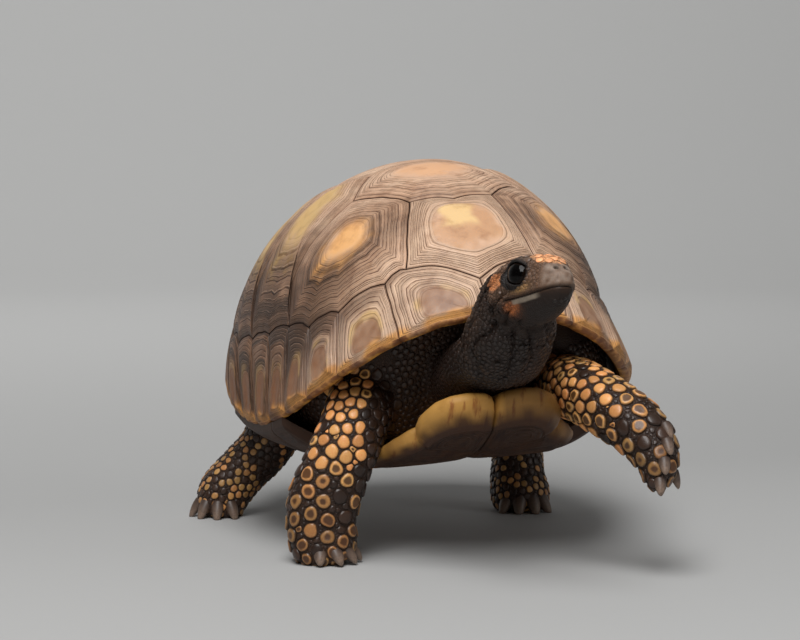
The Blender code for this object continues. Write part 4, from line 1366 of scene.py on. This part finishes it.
# ---- claws ---------------------------------------------------------------------------------
# Claws on the floor: foot, its centre from the shell's centre, bearing of each claw and how
# far it turns beyond that, in degrees, how far out it is rooted, its length and radius, fall.
CLAW_SETS = [
    ("forefoot_right", (-0.0905, -0.1010, -0.0770), (-31, 7, 41, 73, 105), 20.0, 0.0142,
     (0.0080, 0.0042), 0.8),
    ("hindfoot_right", (-0.1270, 0.0940, -0.0760), (-88, -52, -16, 20), 0.0, 0.0145,
     (0.0105, 0.0042), 1.2),
    ("hindfoot_left", (0.0790, 0.0770, -0.0760), (-50, -20, 10, 37), 0.0, 0.0160,
     (0.0120, 0.0050), 0.9)]
# Claws on the raised forefoot: roots near its skin, and the way they hang.
RAISED_CLAW_ROOTS = [(0.0960, -0.1925, 0.0070), (0.0925, -0.1985, -0.0035),
                     (0.0890, -0.2005, -0.0155), (0.0868, -0.1985, -0.0270),
                     (0.0945, -0.1885, -0.0225)]
RAISED_CLAW_FALL = Vector((-0.12, -0.30, -0.94)).normalized() * 1.5
RAISED_CLAW_SIZE = (0.0080, 0.0036)
CLAW_ROWS, CLAW_AROUND = 15, 20
CLAW_ROOTED = 0.25              # share of a claw's length that lies inside the foot


def claw_finish():
    """Dull grey-brown horn, paler towards the tip, with dirt on it."""
    horn = Finish("claw_horn")
    place = horn.place()
    reach = horn.attribute("reach")
    streaks = horn.noise(place, 900.0, 3.0)
    dirt = horn.noise(place, 260.0, 4.0)
    colour = horn.coats(
        srgb(66, 49, 40), (reach.rise(0.1, 1.0), srgb(134, 112, 96)),
        (streaks.rise(0.4, 0.7) * 0.5, srgb(76, 62, 54)),
        (dirt.rise(0.5, 0.75) * 0.5, srgb(58, 46, 40)))
    normal = horn.bump(streaks * 0.5 + dirt * 0.5, 0.35, 0.0004)
    return horn.end(Base_Color=colour, Roughness=0.36 + dirt * 0.2, Normal=normal)


def claws(finish, skin):
    """Eighteen claws, broad and blunt, each in place of its solid."""
    roots = []
    surface = surface_tree(skin)
    for prefix, centre, bearings, twist, reach, size, drop in CLAW_SETS:
        for i, bearing in enumerate(bearings):
            angle, turned = math.radians(bearing), math.radians(bearing + twist)
            out = Vector((math.sin(angle), -math.cos(angle), 0.0))
            along = Vector((math.sin(turned), -math.cos(turned), -drop)).normalized()
            roots.append((f"{prefix}_claw_{i + 1}", Vector(centre) + out * reach, along, *size))
    for i, root in enumerate(RAISED_CLAW_ROOTS):
        hit, normal, _, _ = surface.find_nearest(Vector(root) + SHELL_AT)
        along = (RAISED_CLAW_FALL + normal).normalized()
        roots.append((f"forefoot_left_claw_{i + 1}", hit - SHELL_AT, along, *RAISED_CLAW_SIZE))
    for name, root, along, length, radius in roots:
        piece = add_piece("horn_" + name, claw_mesh(name, root, along, length, radius), finish)
        hand_over(piece, "claw_horn", name)


def claw_mesh(name, root, along, length, radius):
    """A claw that leaves its root along a direction, sags a little and ends bluntly."""
    across = along.cross(Vector((0.0, 0.0, 1.0)))
    across = across.normalized() if across.length > 0.05 else Vector((1.0, 0.0, 0.0))
    lift = across.cross(along).normalized()
    rows, around = CLAW_ROWS, CLAW_AROUND
    points = np.zeros((rows, around, 3))
    for i in range(rows):
        share = -CLAW_ROOTED + 1.27 * i / (rows - 1)
        size = max(1 - max(share - 0.02, 0) ** 2.2, 0.0) ** 0.62
        size *= 1.02 - 0.16 * share
        sag = Vector((0, 0, -length * 0.16 * (share + 0.2) ** 2))
        middle = Vector(root) + SHELL_AT + along * length * min(share, 1.0) + sag
        for k in range(around):
            c, s = math.cos(math.tau * k / around), math.sin(math.tau * k / around)
            keel = 0.92 if s > 0 else 0.70
            place = middle + across * c * radius * size + lift * s * radius * size * keel
            place.z = max(place.z, 0.0)
            points[i, k] = place
    points[0] = points[0].mean(axis=0)
    points[-1] = points[-1].mean(axis=0)
    bm, row, _ = wrapped(points)
    layer = bm.verts.layers.float.new("reach")
    for vertex, place in zip(bm.verts, row):
        vertex[layer] = place / (rows - 1)
    return closed(bm, name)


# ---- the coat: every scale a small solid dome rooted in the skin ---------------------------
LARGE, MEDIUM, SMALL = 0, 1, 2
FOLDS = -1                      # the limb number of loose skin between limbs and trunk
# For each size: points round it, and how far out its rings of points lie.
SCALE_SHAPES = {LARGE: (16, (1.0, 0.95, 0.84, 0.66, 0.40)),
                MEDIUM: (12, (1.0, 0.93, 0.76, 0.42)), SMALL: (9, (1.0, 0.86, 0.50))}
SCALE_WORDS = {LARGE: "large", MEDIUM: "medium", SMALL: "small"}
SCALE_HEIGHTS = {LARGE: 0.30, MEDIUM: 0.28, SMALL: 0.26}    # shares of a scale's radius
# A scale's height at places from its middle out to its edge, which sinks into the skin.
SCALE_PROFILE = ((0.0, 0.42, 0.66, 0.84, 0.95, 1.0), (1.0, 0.97, 0.9, 0.72, 0.3, -0.3))
SCALE_ROOT = -0.0006
HINDLEG_SCALES = (0.0027, 0.0018, 0.0011)
TAIL_SCALES = (0.0, 0.0019, 0.0011)
NECK_SCALES = (0.0, 0.0, 0.00115)
FOLD_SCALE = 0.0020
SAMPLES = 150000                # places tried for a scale
CELL = 0.0045                   # side of the cells that taken places are kept in
# How near two scales may be rooted, as a share of their radii, by size.
SPACING = ((LARGE, 0.78), (MEDIUM, 0.86), (SMALL, 0.86))
CORNER_POWER = 9.0              # the higher it is, the sharper a scale's corners
COPY_STEP = 4.0                 # distance between the scales of a piece as they are laid out


def scale_radii(which, along, points):
    """Radius of the scales of each size at each place, 0 where there are none."""
    radii = np.zeros((3, len(points)))
    large = 0.0039 + 0.0013 * ease(0.25, 0.5, along) - 0.0019 * ease(0.78, 0.95, along)
    radii[:] = np.outer((1.0, 0.50, 0.28), large) * np.isin(which, FORELEGS)
    for limbs, sizes in ((HINDLEGS, HINDLEG_SCALES), ([TAIL_LIMB], TAIL_SCALES),
                         ([HEAD], NECK_SCALES)):
        radii[:, np.isin(which, limbs)] = np.array(sizes)[:, None]
    head = which == HEAD
    _, f, l, u = face_places(points)
    top = head & (u > 0.0095 + 0.10 * np.maximum(l - 0.006, 0)) & (f > -0.024) & (f < 0.020)
    radii[MEDIUM][top] = 0.0026
    radii[SMALL][head & (f > -0.03)] = 0.00105
    radii[:, head & (f > -0.032) & (u < -0.0135)] = 0.0
    radii[SMALL][head & (f < -0.035)] = 0.0014
    beak = (f > 0.0150) & (u < 0.0085) & (u > -0.0120)
    lips = (abs(u - mouth_height(f)) < 0.0014) & (f > MOUTH_CORNER)
    near_eye = (eye_distance(f, u) < 0.0104) & (l > 0.006) & (u < 0.0130)
    ear = (ear_distance(f, u) < 0.0040) & (l > 0.008)
    lower_beak = (f > -0.008) & (u < -0.004) & (u > mouth_height(f) - 0.0065)
    radii[:, head & (beak | lips | near_eye | ear | lower_beak)] = 0.0
    return radii


def surface_samples(mesh, count, generator):
    """Points scattered evenly over a mesh, with the surface's direction there."""
    mesh.calc_loop_triangles()
    corners = read_all(mesh.loop_triangles, "vertices", 3, int)
    points, normals = coordinates(mesh), vertex_normals(mesh)
    a, b, c = (points[corners[:, i]] for i in range(3))
    area = np.linalg.norm(np.cross(b - a, c - a), axis=1)
    area[hidden_inside(points[corners].mean(axis=1))] = 0.0
    pick = generator.choice(len(corners), size=count, p=area / area.sum())
    p, q = generator.random(count), generator.random(count)
    fold = p + q > 1
    p[fold], q[fold] = 1 - p[fold], 1 - q[fold]
    share = np.stack([1 - p - q, p, q], axis=-1)[:, :, None]
    normal = unit((normals[corners[pick]] * share).sum(axis=1))
    return (points[corners[pick]] * share).sum(axis=1), normal


def hidden_inside(points):
    """Flesh that lies well inside the shell, or under a foot, where nothing is seen."""
    local = (points - np.array(SHELL_AT)) @ np.array(SHELL_TURN)
    middle = (abs(local[:, 1]) < 0.058) & (abs(local[:, 0]) < 0.088) & (local[:, 2] > -0.03)
    deep = (abs(local[:, 1]) < 0.10) & (local[:, 2] > 0.045)
    return middle | deep | (points[:, 2] < 0.0006)


def scattered(mesh, generator):
    """Roots of all scales: the large ones first, then smaller ones in the gaps."""
    points, normals = surface_samples(mesh, SAMPLES, generator)
    which, along, angle, out = limb_places(points)
    foreleg = np.isin(which, FORELEGS)
    off = (out > 1.45) | (foreleg & ((along < 0.14) | (out > 1.25)))
    off |= foreleg & (along < 0.30) & (out > 1.08)
    which = np.where(off, FOLDS, which)
    radii = scale_radii(which, along, points)
    radii[SMALL][which == FOLDS] = FOLD_SCALE
    foreleg = np.isin(which, FORELEGS)
    taken = {}
    chosen = []
    keys = np.floor(points / CELL).astype(int)
    foreleg_spare = 0.74 + 0.14 * ease(0.36, 0.52, along) - 0.14 * ease(0.74, 0.88, along)
    for size, usual in SPACING:
        reach = int(math.ceil((0.005 + radii[size].max()) * 1.1 / CELL))
        around = list(itertools.product(range(-reach, reach + 1), repeat=3))
        if size == SMALL:
            around = [step for step in around if max(map(abs, step)) <= 2]
        for index in np.flatnonzero(radii[size] > 0):
            radius = radii[size][index]
            place = points[index]
            spare = foreleg_spare[index] if size == LARGE and foreleg[index] else usual
            x, y, z = keys[index]
            if not any(crowded(place - other, (radius + width) * spare) for i, j, k in around
                       for other, width in taken.get((x + i, y + j, z + k), ())):
                taken.setdefault((x, y, z), []).append((place, radius))
                chosen.append((index, size, radius))
    index, size, radius = (np.array(column) for column in zip(*chosen))
    root, normal = eased_apart(mesh, points[index], normals[index], size, radius)
    return {"root": root, "normal": normal, "limb": which[index], "along": along[index],
            "angle": angle[index], "size": size, "radius": radius}


def crowded(gap, wanted):
    return gap.dot(gap) < wanted ** 2


def eased_apart(mesh, points, normals, size, radius):
    """The large scales push each other apart, then the others, until they sit evenly."""
    surface = surface_tree(mesh)
    for movable, rounds in ((LARGE, 12), (SMALL, 4)):
        part = np.flatnonzero(size <= movable)
        for _ in range(rounds):
            near = nearest_points(points[part], points[part], 7)
            gap = points[part][:, None] - points[part][near]
            distance = np.maximum(np.linalg.norm(gap, axis=2), 1e-7)
            wish = (radius[part][:, None] + radius[part][near]) * 1.05
            push = np.clip(wish - distance, 0, None) * (distance > 1e-6)
            moved = (gap / distance[:, :, None] * (push * 0.32)[:, :, None]).sum(axis=1)
            still = (size[part] < movable) & (movable != LARGE)
            moved[still] = 0.0
            limit = np.linalg.norm(moved, axis=1) / (0.5 * radius[part])
            moved /= np.maximum(limit, 1.0)[:, None]
            for i, place in zip(part, points[part] + moved):
                hit, normal, _, _ = surface.find_nearest(Vector(place))
                points[i] = hit
                normals[i] = normals[i] * 0.5 + np.array(normal) * 0.5
    return points, unit(normals)


def limb_directions(roots):
    """The way along the limb at each scale, lying in the skin."""
    lie = np.tile(np.array([0.0, -1.0, 0.3]), (len(roots["root"]), 1))
    for number, name in enumerate(LIMB_NAMES):
        rings = RINGS[name]
        runs = np.array([ring[1] for ring in rings])
        here = roots["limb"] == number
        lie[here] = runs[np.rint(roots["along"][here] * (len(rings) - 1)).astype(int)]
    normal = roots["normal"]
    return unit(lie - normal * (lie * normal).sum(axis=1, keepdims=True))


def scale_outlines(roots, chosen, around, lie):
    """How far each scale reaches in each direction, before it meets its neighbours."""
    bearings = np.arange(around) * math.tau / around
    centre, normal = roots["root"][chosen], roots["normal"][chosen]
    aside = np.cross(normal, lie[chosen])
    near = nearest_points(roots["root"], centre, 13)
    gap = roots["root"][near] - centre[:, None]
    distance = np.linalg.norm(gap, axis=2)
    mine, theirs = roots["radius"][chosen][:, None], roots["radius"][near]
    safe = np.maximum(distance, 1e-6)
    half = safe / 2 + (mine ** 2 - theirs ** 2) / (2 * safe)
    half = np.maximum(half - 0.00012 - 0.035 * np.minimum(mine, theirs), 0.25 * mine)
    bearing = np.arctan2((gap * aside[:, None]).sum(axis=2),
                         (gap * lie[chosen][:, None]).sum(axis=2))
    facing = np.cos(bearings[None, None, :] - bearing[:, :, None])
    limit = np.where((facing > 0.08) & (distance[:, :, None] > 1e-5),
                     half[:, :, None] / np.maximum(facing, 0.08), 1.0)
    oval = roots["oval"][chosen][:, None]
    cap = mine * 1.20 / np.sqrt((np.cos(bearings) / oval) ** 2 + (np.sin(bearings) * oval) ** 2)
    phase = (centre[:, :1] * 900.0 + centre[:, 2:] * 1300.0)
    uneven = 1 + 0.05 * np.sin(2 * bearings + phase) + 0.035 * np.sin(3 * bearings + phase * 1.7)
    total = (limit ** -CORNER_POWER).sum(axis=1) + cap ** -CORNER_POWER
    return total ** (-1 / CORNER_POWER) * uneven, aside


def scale_template(size):
    """One closed disc: a spun profile from the point under it, out to its edge and back."""
    around, reaches = SCALE_SHAPES[size]
    bm = bmesh.new()
    chain = [bm.verts.new((0.0, 0.0, -1.0))]
    chain += [bm.verts.new((reach, 0.0, 0.0)) for reach in (*reaches, 0.0)]
    edges = [bm.edges.new(pair) for pair in zip(chain, chain[1:])]
    bmesh.ops.spin(bm, geom=chain + edges, cent=(0, 0, 0), axis=(0, 0, 1), angle=math.tau,
                   steps=around, use_merge=True)
    bmesh.ops.remove_doubles(bm, verts=bm.verts, dist=1e-5)
    for vertex in bm.verts:
        if vertex.co.z > -0.5 and vertex.co.xy.length < 0.99:
            vertex.co.z = 0.1 * (1 - vertex.co.xy.length)
    bmesh.ops.recalc_face_normals(bm, faces=bm.faces)
    return saved(bm, "scale_shape")


def coat(skin, finish):
    """Scatters the scales over the skin and builds them, limb by limb and size by size."""
    generator = np.random.default_rng(7)
    roots = scattered(skin, generator)
    count = len(roots["root"])
    lie = limb_directions(roots)
    hind = np.isin(roots["limb"], HINDLEGS)
    roots["oval"] = np.where(hind, 1.16, 0.98 + 0.16 * generator.random(count))
    surface = surface_tree(skin)
    pattern = scale_pattern(roots, generator)
    for number, limb in [*enumerate(LIMB_NAMES), (FOLDS, "folds")]:
        for size in SCALE_SHAPES:
            chosen = np.flatnonzero((roots["limb"] == number) & (roots["size"] == size))
            if len(chosen):
                name = f"scales_{limb}_{SCALE_WORDS[size]}"
                build_scales(name, roots, chosen, size, lie, surface, pattern, finish)


def scale_pattern(roots, generator):
    """For each scale: its colour, how much of it is coloured, and its dark middle."""
    count = len(roots["root"])
    tone, luck, pick = (generator.random(count) for _ in range(3))
    hide = flesh_colour(roots["root"])
    limb, size, along = roots["limb"], roots["size"], roots["along"]
    tint = hide * (0.75 + 0.55 * tone[:, None])
    fill = np.zeros(count)
    hole = np.zeros(count)
    edged = np.ones(count)
    coloured = painted(SCALE_ORANGE, (SCALE_YELLOW, pick))
    coloured = coloured * (0.56 + 0.44 * tone[:, None])
    # The top of the right foreleg is dark on its inner side.
    inner = (limb == FORELEGS[0]) & (np.cos(roots["angle"]) > 0.35)
    inner &= along < np.where(np.cos(roots["angle"]) > 0.7, 0.38, 0.31)
    for number, name in enumerate(LIMB_NAMES):
        here = limb == number
        if name.startswith("foreleg"):
            upper = ease(0.5, 0.36, along)
            chance = np.where(size == LARGE, 0.78 + 0.12 * upper,
                              np.where(size == MEDIUM, 0.06 + 0.55 * upper, 0.02))
            lit = here & (luck < chance) & ~inner
            # Painted light: the coloured scales are painted brighter at the top of the leg, where
            # light falls on it; they are also darker towards the foot.
            light = (1 - 0.48 * ease(0.44, 0.72, along)) * (1 + 0.22 * upper)
            coloured[here] *= light[here][:, None]
            edged[here] = (1 - 0.55 * upper)[here]
            ringed = lit & (size < SMALL) & (pick > 0.10 + 0.65 * upper)
            cap = here & (along > 0.90) & (size < SMALL)
            tint[cap] = painted(tint[cap], (FOOT_PINK, 0.3 + 0.4 * tone[cap]))
            hole[ringed] = (0.34 + 0.36 * tone)[ringed]
        elif name.startswith("hindleg"):
            # Painted shade: the hind legs' coloured scales are painted darker, as in the shade of
            # the shell.
            coloured[here] *= 0.72
            chance = np.where(size == LARGE, 0.50, np.where(size == MEDIUM, 0.20, 0.05))
            lit = here & (luck < chance)
            foot = here & (along > 0.82)
            tint[foot] = painted(tint[foot], (FOOT_PINK, 0.35 + 0.5 * tone[foot]))
        elif name == "tail":
            lit = here & (luck < 0.3)
        else:
            continue
        fill[lit] = edged[lit]
        dark = here & ~lit
        tint[dark] = (SCALE_DARK * (0.7 + 0.9 * tone[:, None]))[dark]
        tint[lit] = coloured[lit]
    return {"tint": tint, "fill": fill, "hole": hole, "tone": tone}


def build_scales(name, roots, chosen, size, lie, surface, pattern, finish):
    """One piece of scales: a row of copies of one disc, each bent to its place on the skin."""
    around = SCALE_SHAPES[size][0]
    piece = add_piece("growing", scale_template(size))
    array = piece.modifiers.new("many", "ARRAY")
    array.count = len(chosen)
    array.use_relative_offset, array.use_constant_offset = False, True
    array.constant_offset_displace = (COPY_STEP, 0.0, 0.0)
    mesh = evaluated(piece)
    mesh.name = name
    laid = coordinates(mesh)
    copy = np.rint(laid[:, 0] / COPY_STEP).astype(int)
    flat = laid - np.outer(copy, (COPY_STEP, 0.0, 0.0))
    reach = np.hypot(flat[:, 0], flat[:, 1])
    bearing = np.arctan2(flat[:, 1], flat[:, 0])
    under = flat[:, 2] < -0.5
    step = np.rint(bearing / math.tau * around).astype(int) % around
    outline, aside = scale_outlines(roots, chosen, around, lie)
    index = chosen[copy]
    centre, normal = roots["root"][index], roots["normal"][index]
    spread = reach * outline[copy, step]
    place = centre + lie[index] * (np.cos(bearing) * spread)[:, None]
    place += aside[copy] * (np.sin(bearing) * spread)[:, None]
    lean = normal.copy()
    if size != SMALL:
        for i, point in enumerate(place):
            hit, face_normal, _, _ = surface.find_nearest(Vector(point), 0.01)
            if hit:
                place[i] = hit
                lean[i] = lean[i] + np.array(face_normal)
        lean = unit(lean)
    tall = SCALE_HEIGHTS[size] * roots["radius"][index]
    crown = np.interp(reach, *SCALE_PROFILE)
    dimple = 0.28 * ease(0.62, 0.2, reach) * (pattern["hole"][index] > 0)
    height = tall * (crown - dimple) * (0.85 + 0.3 * pattern["tone"][index])
    height += tall * 0.28 * reach * np.cos(bearing) * (reach < 0.99)
    height = np.where(under, SCALE_ROOT, height)
    place = place + lean * height[:, None]
    place[:, 2] = np.maximum(place[:, 2], 0.0)
    mesh.vertices.foreach_set("co", place.ravel())
    give_numbers(mesh, "reach", reach)
    for key in ("fill", "hole"):
        give_numbers(mesh, key, pattern[key][index])
    give_colours(mesh, pattern["tint"][index])
    patches = mesh.uv_layers.new(name="OFBake")
    corner = read_all(mesh.loops, "vertex_index", 1, int)[:, 0]
    home = np.stack([0.5 + roots["angle"] / math.tau, roots["along"]], axis=-1) * 0.96 + 0.02
    local = np.stack([np.cos(bearing) * reach, np.sin(bearing) * reach], axis=-1) * 0.0015
    patches.data.foreach_set("uv", (home[index] + local)[corner].ravel())
    mesh.shade_smooth()
    mesh.update()
    hand_over(add_piece(name, mesh, finish), "skin")


def scale_finish():
    """Horny scales: dark edged, some filled with orange, some with a dark middle."""
    horn = Finish("scale_horn", Coat_Weight=0.18, Coat_Roughness=0.18, IOR=1.42)
    place = horn.place()
    tint = horn.attribute("tint", "Color")
    reach, fill, hole = (horn.attribute(key) for key in ("reach", "fill", "hole"))
    grain = horn.noise(place, 1100.0, 3.0)
    blotch = horn.noise(place, 330.0, 3.0)
    edge = (reach + (blotch - 0.5) * 0.16).rise(0.74, 0.96) * fill
    middle = (reach + (blotch - 0.5) * 0.45 - hole).rise(0.16, -0.16) * hole.rise(0.05, 0.2)
    colour = horn.coats(
        tint, (grain.rise(0.3, 0.75) * 0.35, srgb(150, 112, 80), "OVERLAY"),
        (blotch.rise(0.55, 0.8) * fill * 0.5, srgb(132, 72, 34)),
        (middle * 0.9, srgb(62, 35, 21)), (edge * 0.85, srgb(60, 38, 26)),
        (reach.rise(0.86, 0.99) * 0.7, srgb(24, 17, 14)))
    rings = ((reach * 5.0 + blotch * 0.6).fract() - 0.5).size()
    normal = horn.bump(grain * 0.4 + rings * 0.5, 0.45, 0.0003)
    return horn.end(Base_Color=colour, Roughness=0.30 + grain * 0.22, Normal=normal)


# ---- the lower shell -----------------------------------------------------------------------
# Places here are x, y on the lower shell's plan, in metres from the shell's centre.
BRIDGE_BEARINGS = [62.0, 69.7, 77.3, 85.0, 92.7, 100.3, 108.0]
FRONT_LOBE = [(0.0, -0.146), (0.0085, -0.1510), (0.017, -0.1520), (0.025, -0.1505),
              (0.0312, -0.1455), (0.0352, -0.1380), (0.037, -0.128), (0.045, -0.1210),
              (0.052, -0.113), (0.0560, -0.1045), (0.0575, -0.095), (0.060, -0.077)]
REAR_LOBE = [(0.054, 0.053), (0.046, 0.064), (0.046, 0.090), (0.043, 0.114),
             (0.034, 0.134), (0.018, 0.142), (0.0, 0.130)]
LOBE_EDGE = (0.0014, 0.0007)    # a point this far from a lobe's outline is off it, or on it
RIM_INSET = 0.985               # the bridge meets the rim this far out
BELLY_SCALE = METRES_PER_CHART  # this plan is in metres
BELLY_YELLOW = np.array(srgb(255, 192, 98))
BELLY_OLIVE = np.array(srgb(170, 114, 56))
BELLY_BROWN = np.array(srgb(90, 54, 28))
# Painted shade for the lower shell's underside and the low part of its thick front edge.
BELLY_SHADE = np.array(srgb(36, 20, 11))


def belly_outlines():
    """The six plates of the lower shell's left half, with where each began to grow."""
    rim = dome_surface(*np.array([polar(1.0, bearing) for bearing in BRIDGE_BEARINGS]).T)
    rim = [(x * RIM_INSET, y) for x, y in rim[:, :2]]
    fore, aft = FRONT_LOBE, REAR_LOBE
    return {
        "gular": ([(0.0, -0.108), *fore[:7]], (0.019, -0.138), 0.30),
        "humeral": ([(0.0, -0.066), (0.0, -0.108), *fore[6:], (0.040, -0.070)],
                    (0.036, -0.095), 0.30),
        "pectoral": ([(0.0, -0.040), (0.0, -0.066), (0.040, -0.070), fore[-1], rim[0], rim[1],
                      (0.070, -0.040)], (0.050, -0.055), 0.25),
        "abdominal": ([(0.0, 0.046), (0.0, -0.040), (0.070, -0.040), *rim[1:6],
                       (0.062, 0.040)], (0.050, 0.004), 0.28),
        "femoral": ([(0.0, 0.098), (0.0, 0.046), (0.062, 0.040), rim[5], rim[6], *aft[0:3]],
                    (0.028, 0.072), 0.28),
        "anal": ([(0.0, 0.098), *aft[2:6], (0.004, 0.131)], (0.022, 0.114), 0.28)}


def on_belly(plan, share, relief):
    """World points of the lower shell: share is 0 at the underside and 1 at the inner face."""
    x, y = plan[:, 0], plan[:, 1]
    under, over = plastron_heights(x, y)
    lower = under - relief
    return to_world(np.stack([x, y, lower + (over - lower) * share], axis=-1))


def lobe_edge(points):
    """1 on the free edges of the front and rear lobes."""
    nearest = np.full(len(points), 1.0)
    place = np.stack([abs(points[:, 0]), points[:, 1]], axis=-1)
    for lobe in (FRONT_LOBE, REAR_LOBE):
        for start, end in zip(np.array(lobe), np.array(lobe)[1:]):
            run = end - start
            t = np.clip((place - start) @ run / (run @ run), 0, 1)
            nearest = np.minimum(nearest, np.linalg.norm(start + t[:, None] * run - place,
                                                         axis=1))
    return ease(*LOBE_EDGE, nearest)


def belly_colour(points, grow, salt, ring):
    """Brown horn with painted shade below; the thick front edge is yellow with brown between."""
    x, y, depth = points[:, 0], points[:, 1], points[:, 2]
    mottle = cloud(points, 0.022, salt)
    streak = cloud(points, 0.008, salt + 4)
    band = hashed(ring + 0.5, salt)
    wall = (grow < -0.5) * ease(-0.078, -0.088, y)
    raised = ease(0.10, 0.30, depth + (streak - 0.5) * 0.2)
    front = ease(0.064, 0.044, abs(x))
    yellow = wall * raised * (0.85 + 0.15 * front) * ease(0.15, 0.40, mottle + 0.25 * front)
    yellow = yellow * np.where(x > 0.004, 0.5, 1.0)
    # Painted shade: dark on the underside towards the front and towards the bridge, and low on
    # the thick front wall under its yellow.
    return painted(
        BELLY_OLIVE, (BELLY_BROWN, 0.35 + 0.9 * mottle + 0.3 * band * (grow < 1)),
        (BELLY_SHADE, (grow >= 0) * ease(-0.04, -0.11, y) * 0.85),
        (BELLY_SHADE, ease(0.060, 0.085, abs(x)) * 0.85), (BELLY_SHADE, wall * 0.8),
        (BELLY_YELLOW, yellow))


def belly_finish():
    """Smoother, yellower horn with brown smoke in it."""
    horn = Finish("belly_horn", IOR=1.35)
    place = horn.place()
    ring, seam, grow = (horn.attribute(key) for key in ("ring", "seam", "grow"))
    tint = horn.attribute("tint", "Color")
    grain = horn.noise(place, 800.0, 4.0)
    smoke = horn.noise(place, 55.0, 5.0, 0.6)
    line = ((ring + 0.5).fract() - 0.5).size().rise(0.16, 0.0) * grow.rise(1.02, 0.96)
    streaks = horn.noise(horn.stretched(place, (1.0, 0.35, 0.22)), 190.0, 4.0)
    colour = horn.coats(
        tint, (smoke.rise(0.50, 0.68) * 0.20, srgb(96, 58, 30)),
        (streaks.rise(0.53, 0.64) * 0.75, srgb(168, 116, 88), "MULTIPLY"),
        (grain.rise(0.35, 0.75) * 0.25, srgb(224, 186, 120), "SOFT_LIGHT"),
        (line * 0.55, srgb(78, 50, 32)), (seam.rise(0.25, 1.0) * 0.6, srgb(52, 34, 24)))
    normal = horn.bump(grain * 0.3 + line * -0.8 + streaks * -0.5, 0.6, 0.0006)
    return horn.end(Base_Color=colour, Roughness=0.44 + grain * 0.2, Normal=normal)


def lower_shell(finish):
    """Twelve plates under the animal, the front pair thick and pillowed."""
    for side, label in SIDE_NAMES.items():
        for name, (outline, heart, share) in belly_outlines().items():
            if side == RIGHT:
                outline = mirrored(outline)
            front = name == "gular"
            piece = grown_plate(f"belly_{name}_{label}", outline, (heart[0] * side, heart[1]),
                                share, on_belly, belly_colour, 6 if front else 8,
                                hump=0.0012, relief=0.0007 if front else 0.0003,
                                scale=BELLY_SCALE,
                                free=lobe_edge, bulge=0.0095 if front else 0.006, dip=0.0016)
            piece.data.materials.append(finish)
            hand_over(piece, "plastron_horn", "plastron")


def living_skin(finish):
    """The one skin, shaped and marked, in place of every solid of flesh."""
    mesh = fused_skin()
    move_to(mesh, narrowed_nose(coordinates(mesh)))
    points, normals = coordinates(mesh), vertex_normals(mesh)
    which, along, angle, out = limb_places(points)
    on_neck = (which == HEAD) * ease(1.6, 1.2, out)
    move = shaped_head(points, normals) + neck_folds(points, along, angle, on_neck)
    move_to(mesh, points + normals * move[:, None])
    give_colours(mesh, flesh_colour(coordinates(mesh)))
    give_numbers(mesh, "bare", bare_beak(coordinates(mesh)))
    piece = add_piece("skin", mesh, finish)
    hand_over(piece, "skin", "trunk", "neck", "head", "lower_jaw", "tail",
              *(f"{part}_{side}" for part in ("foreleg", "forefoot", "hindleg", "hindfoot")
                for side in ("left", "right")))
    return mesh


studio()
ringed_horn = horn_finish()
carapace(ringed_horn)
lower_shell(belly_finish())
hide = hide_finish()
skin = living_skin(hide)
coat(skin, scale_finish())
eyes(eye_finish())
lids(hide)
claws(claw_finish(), skin)
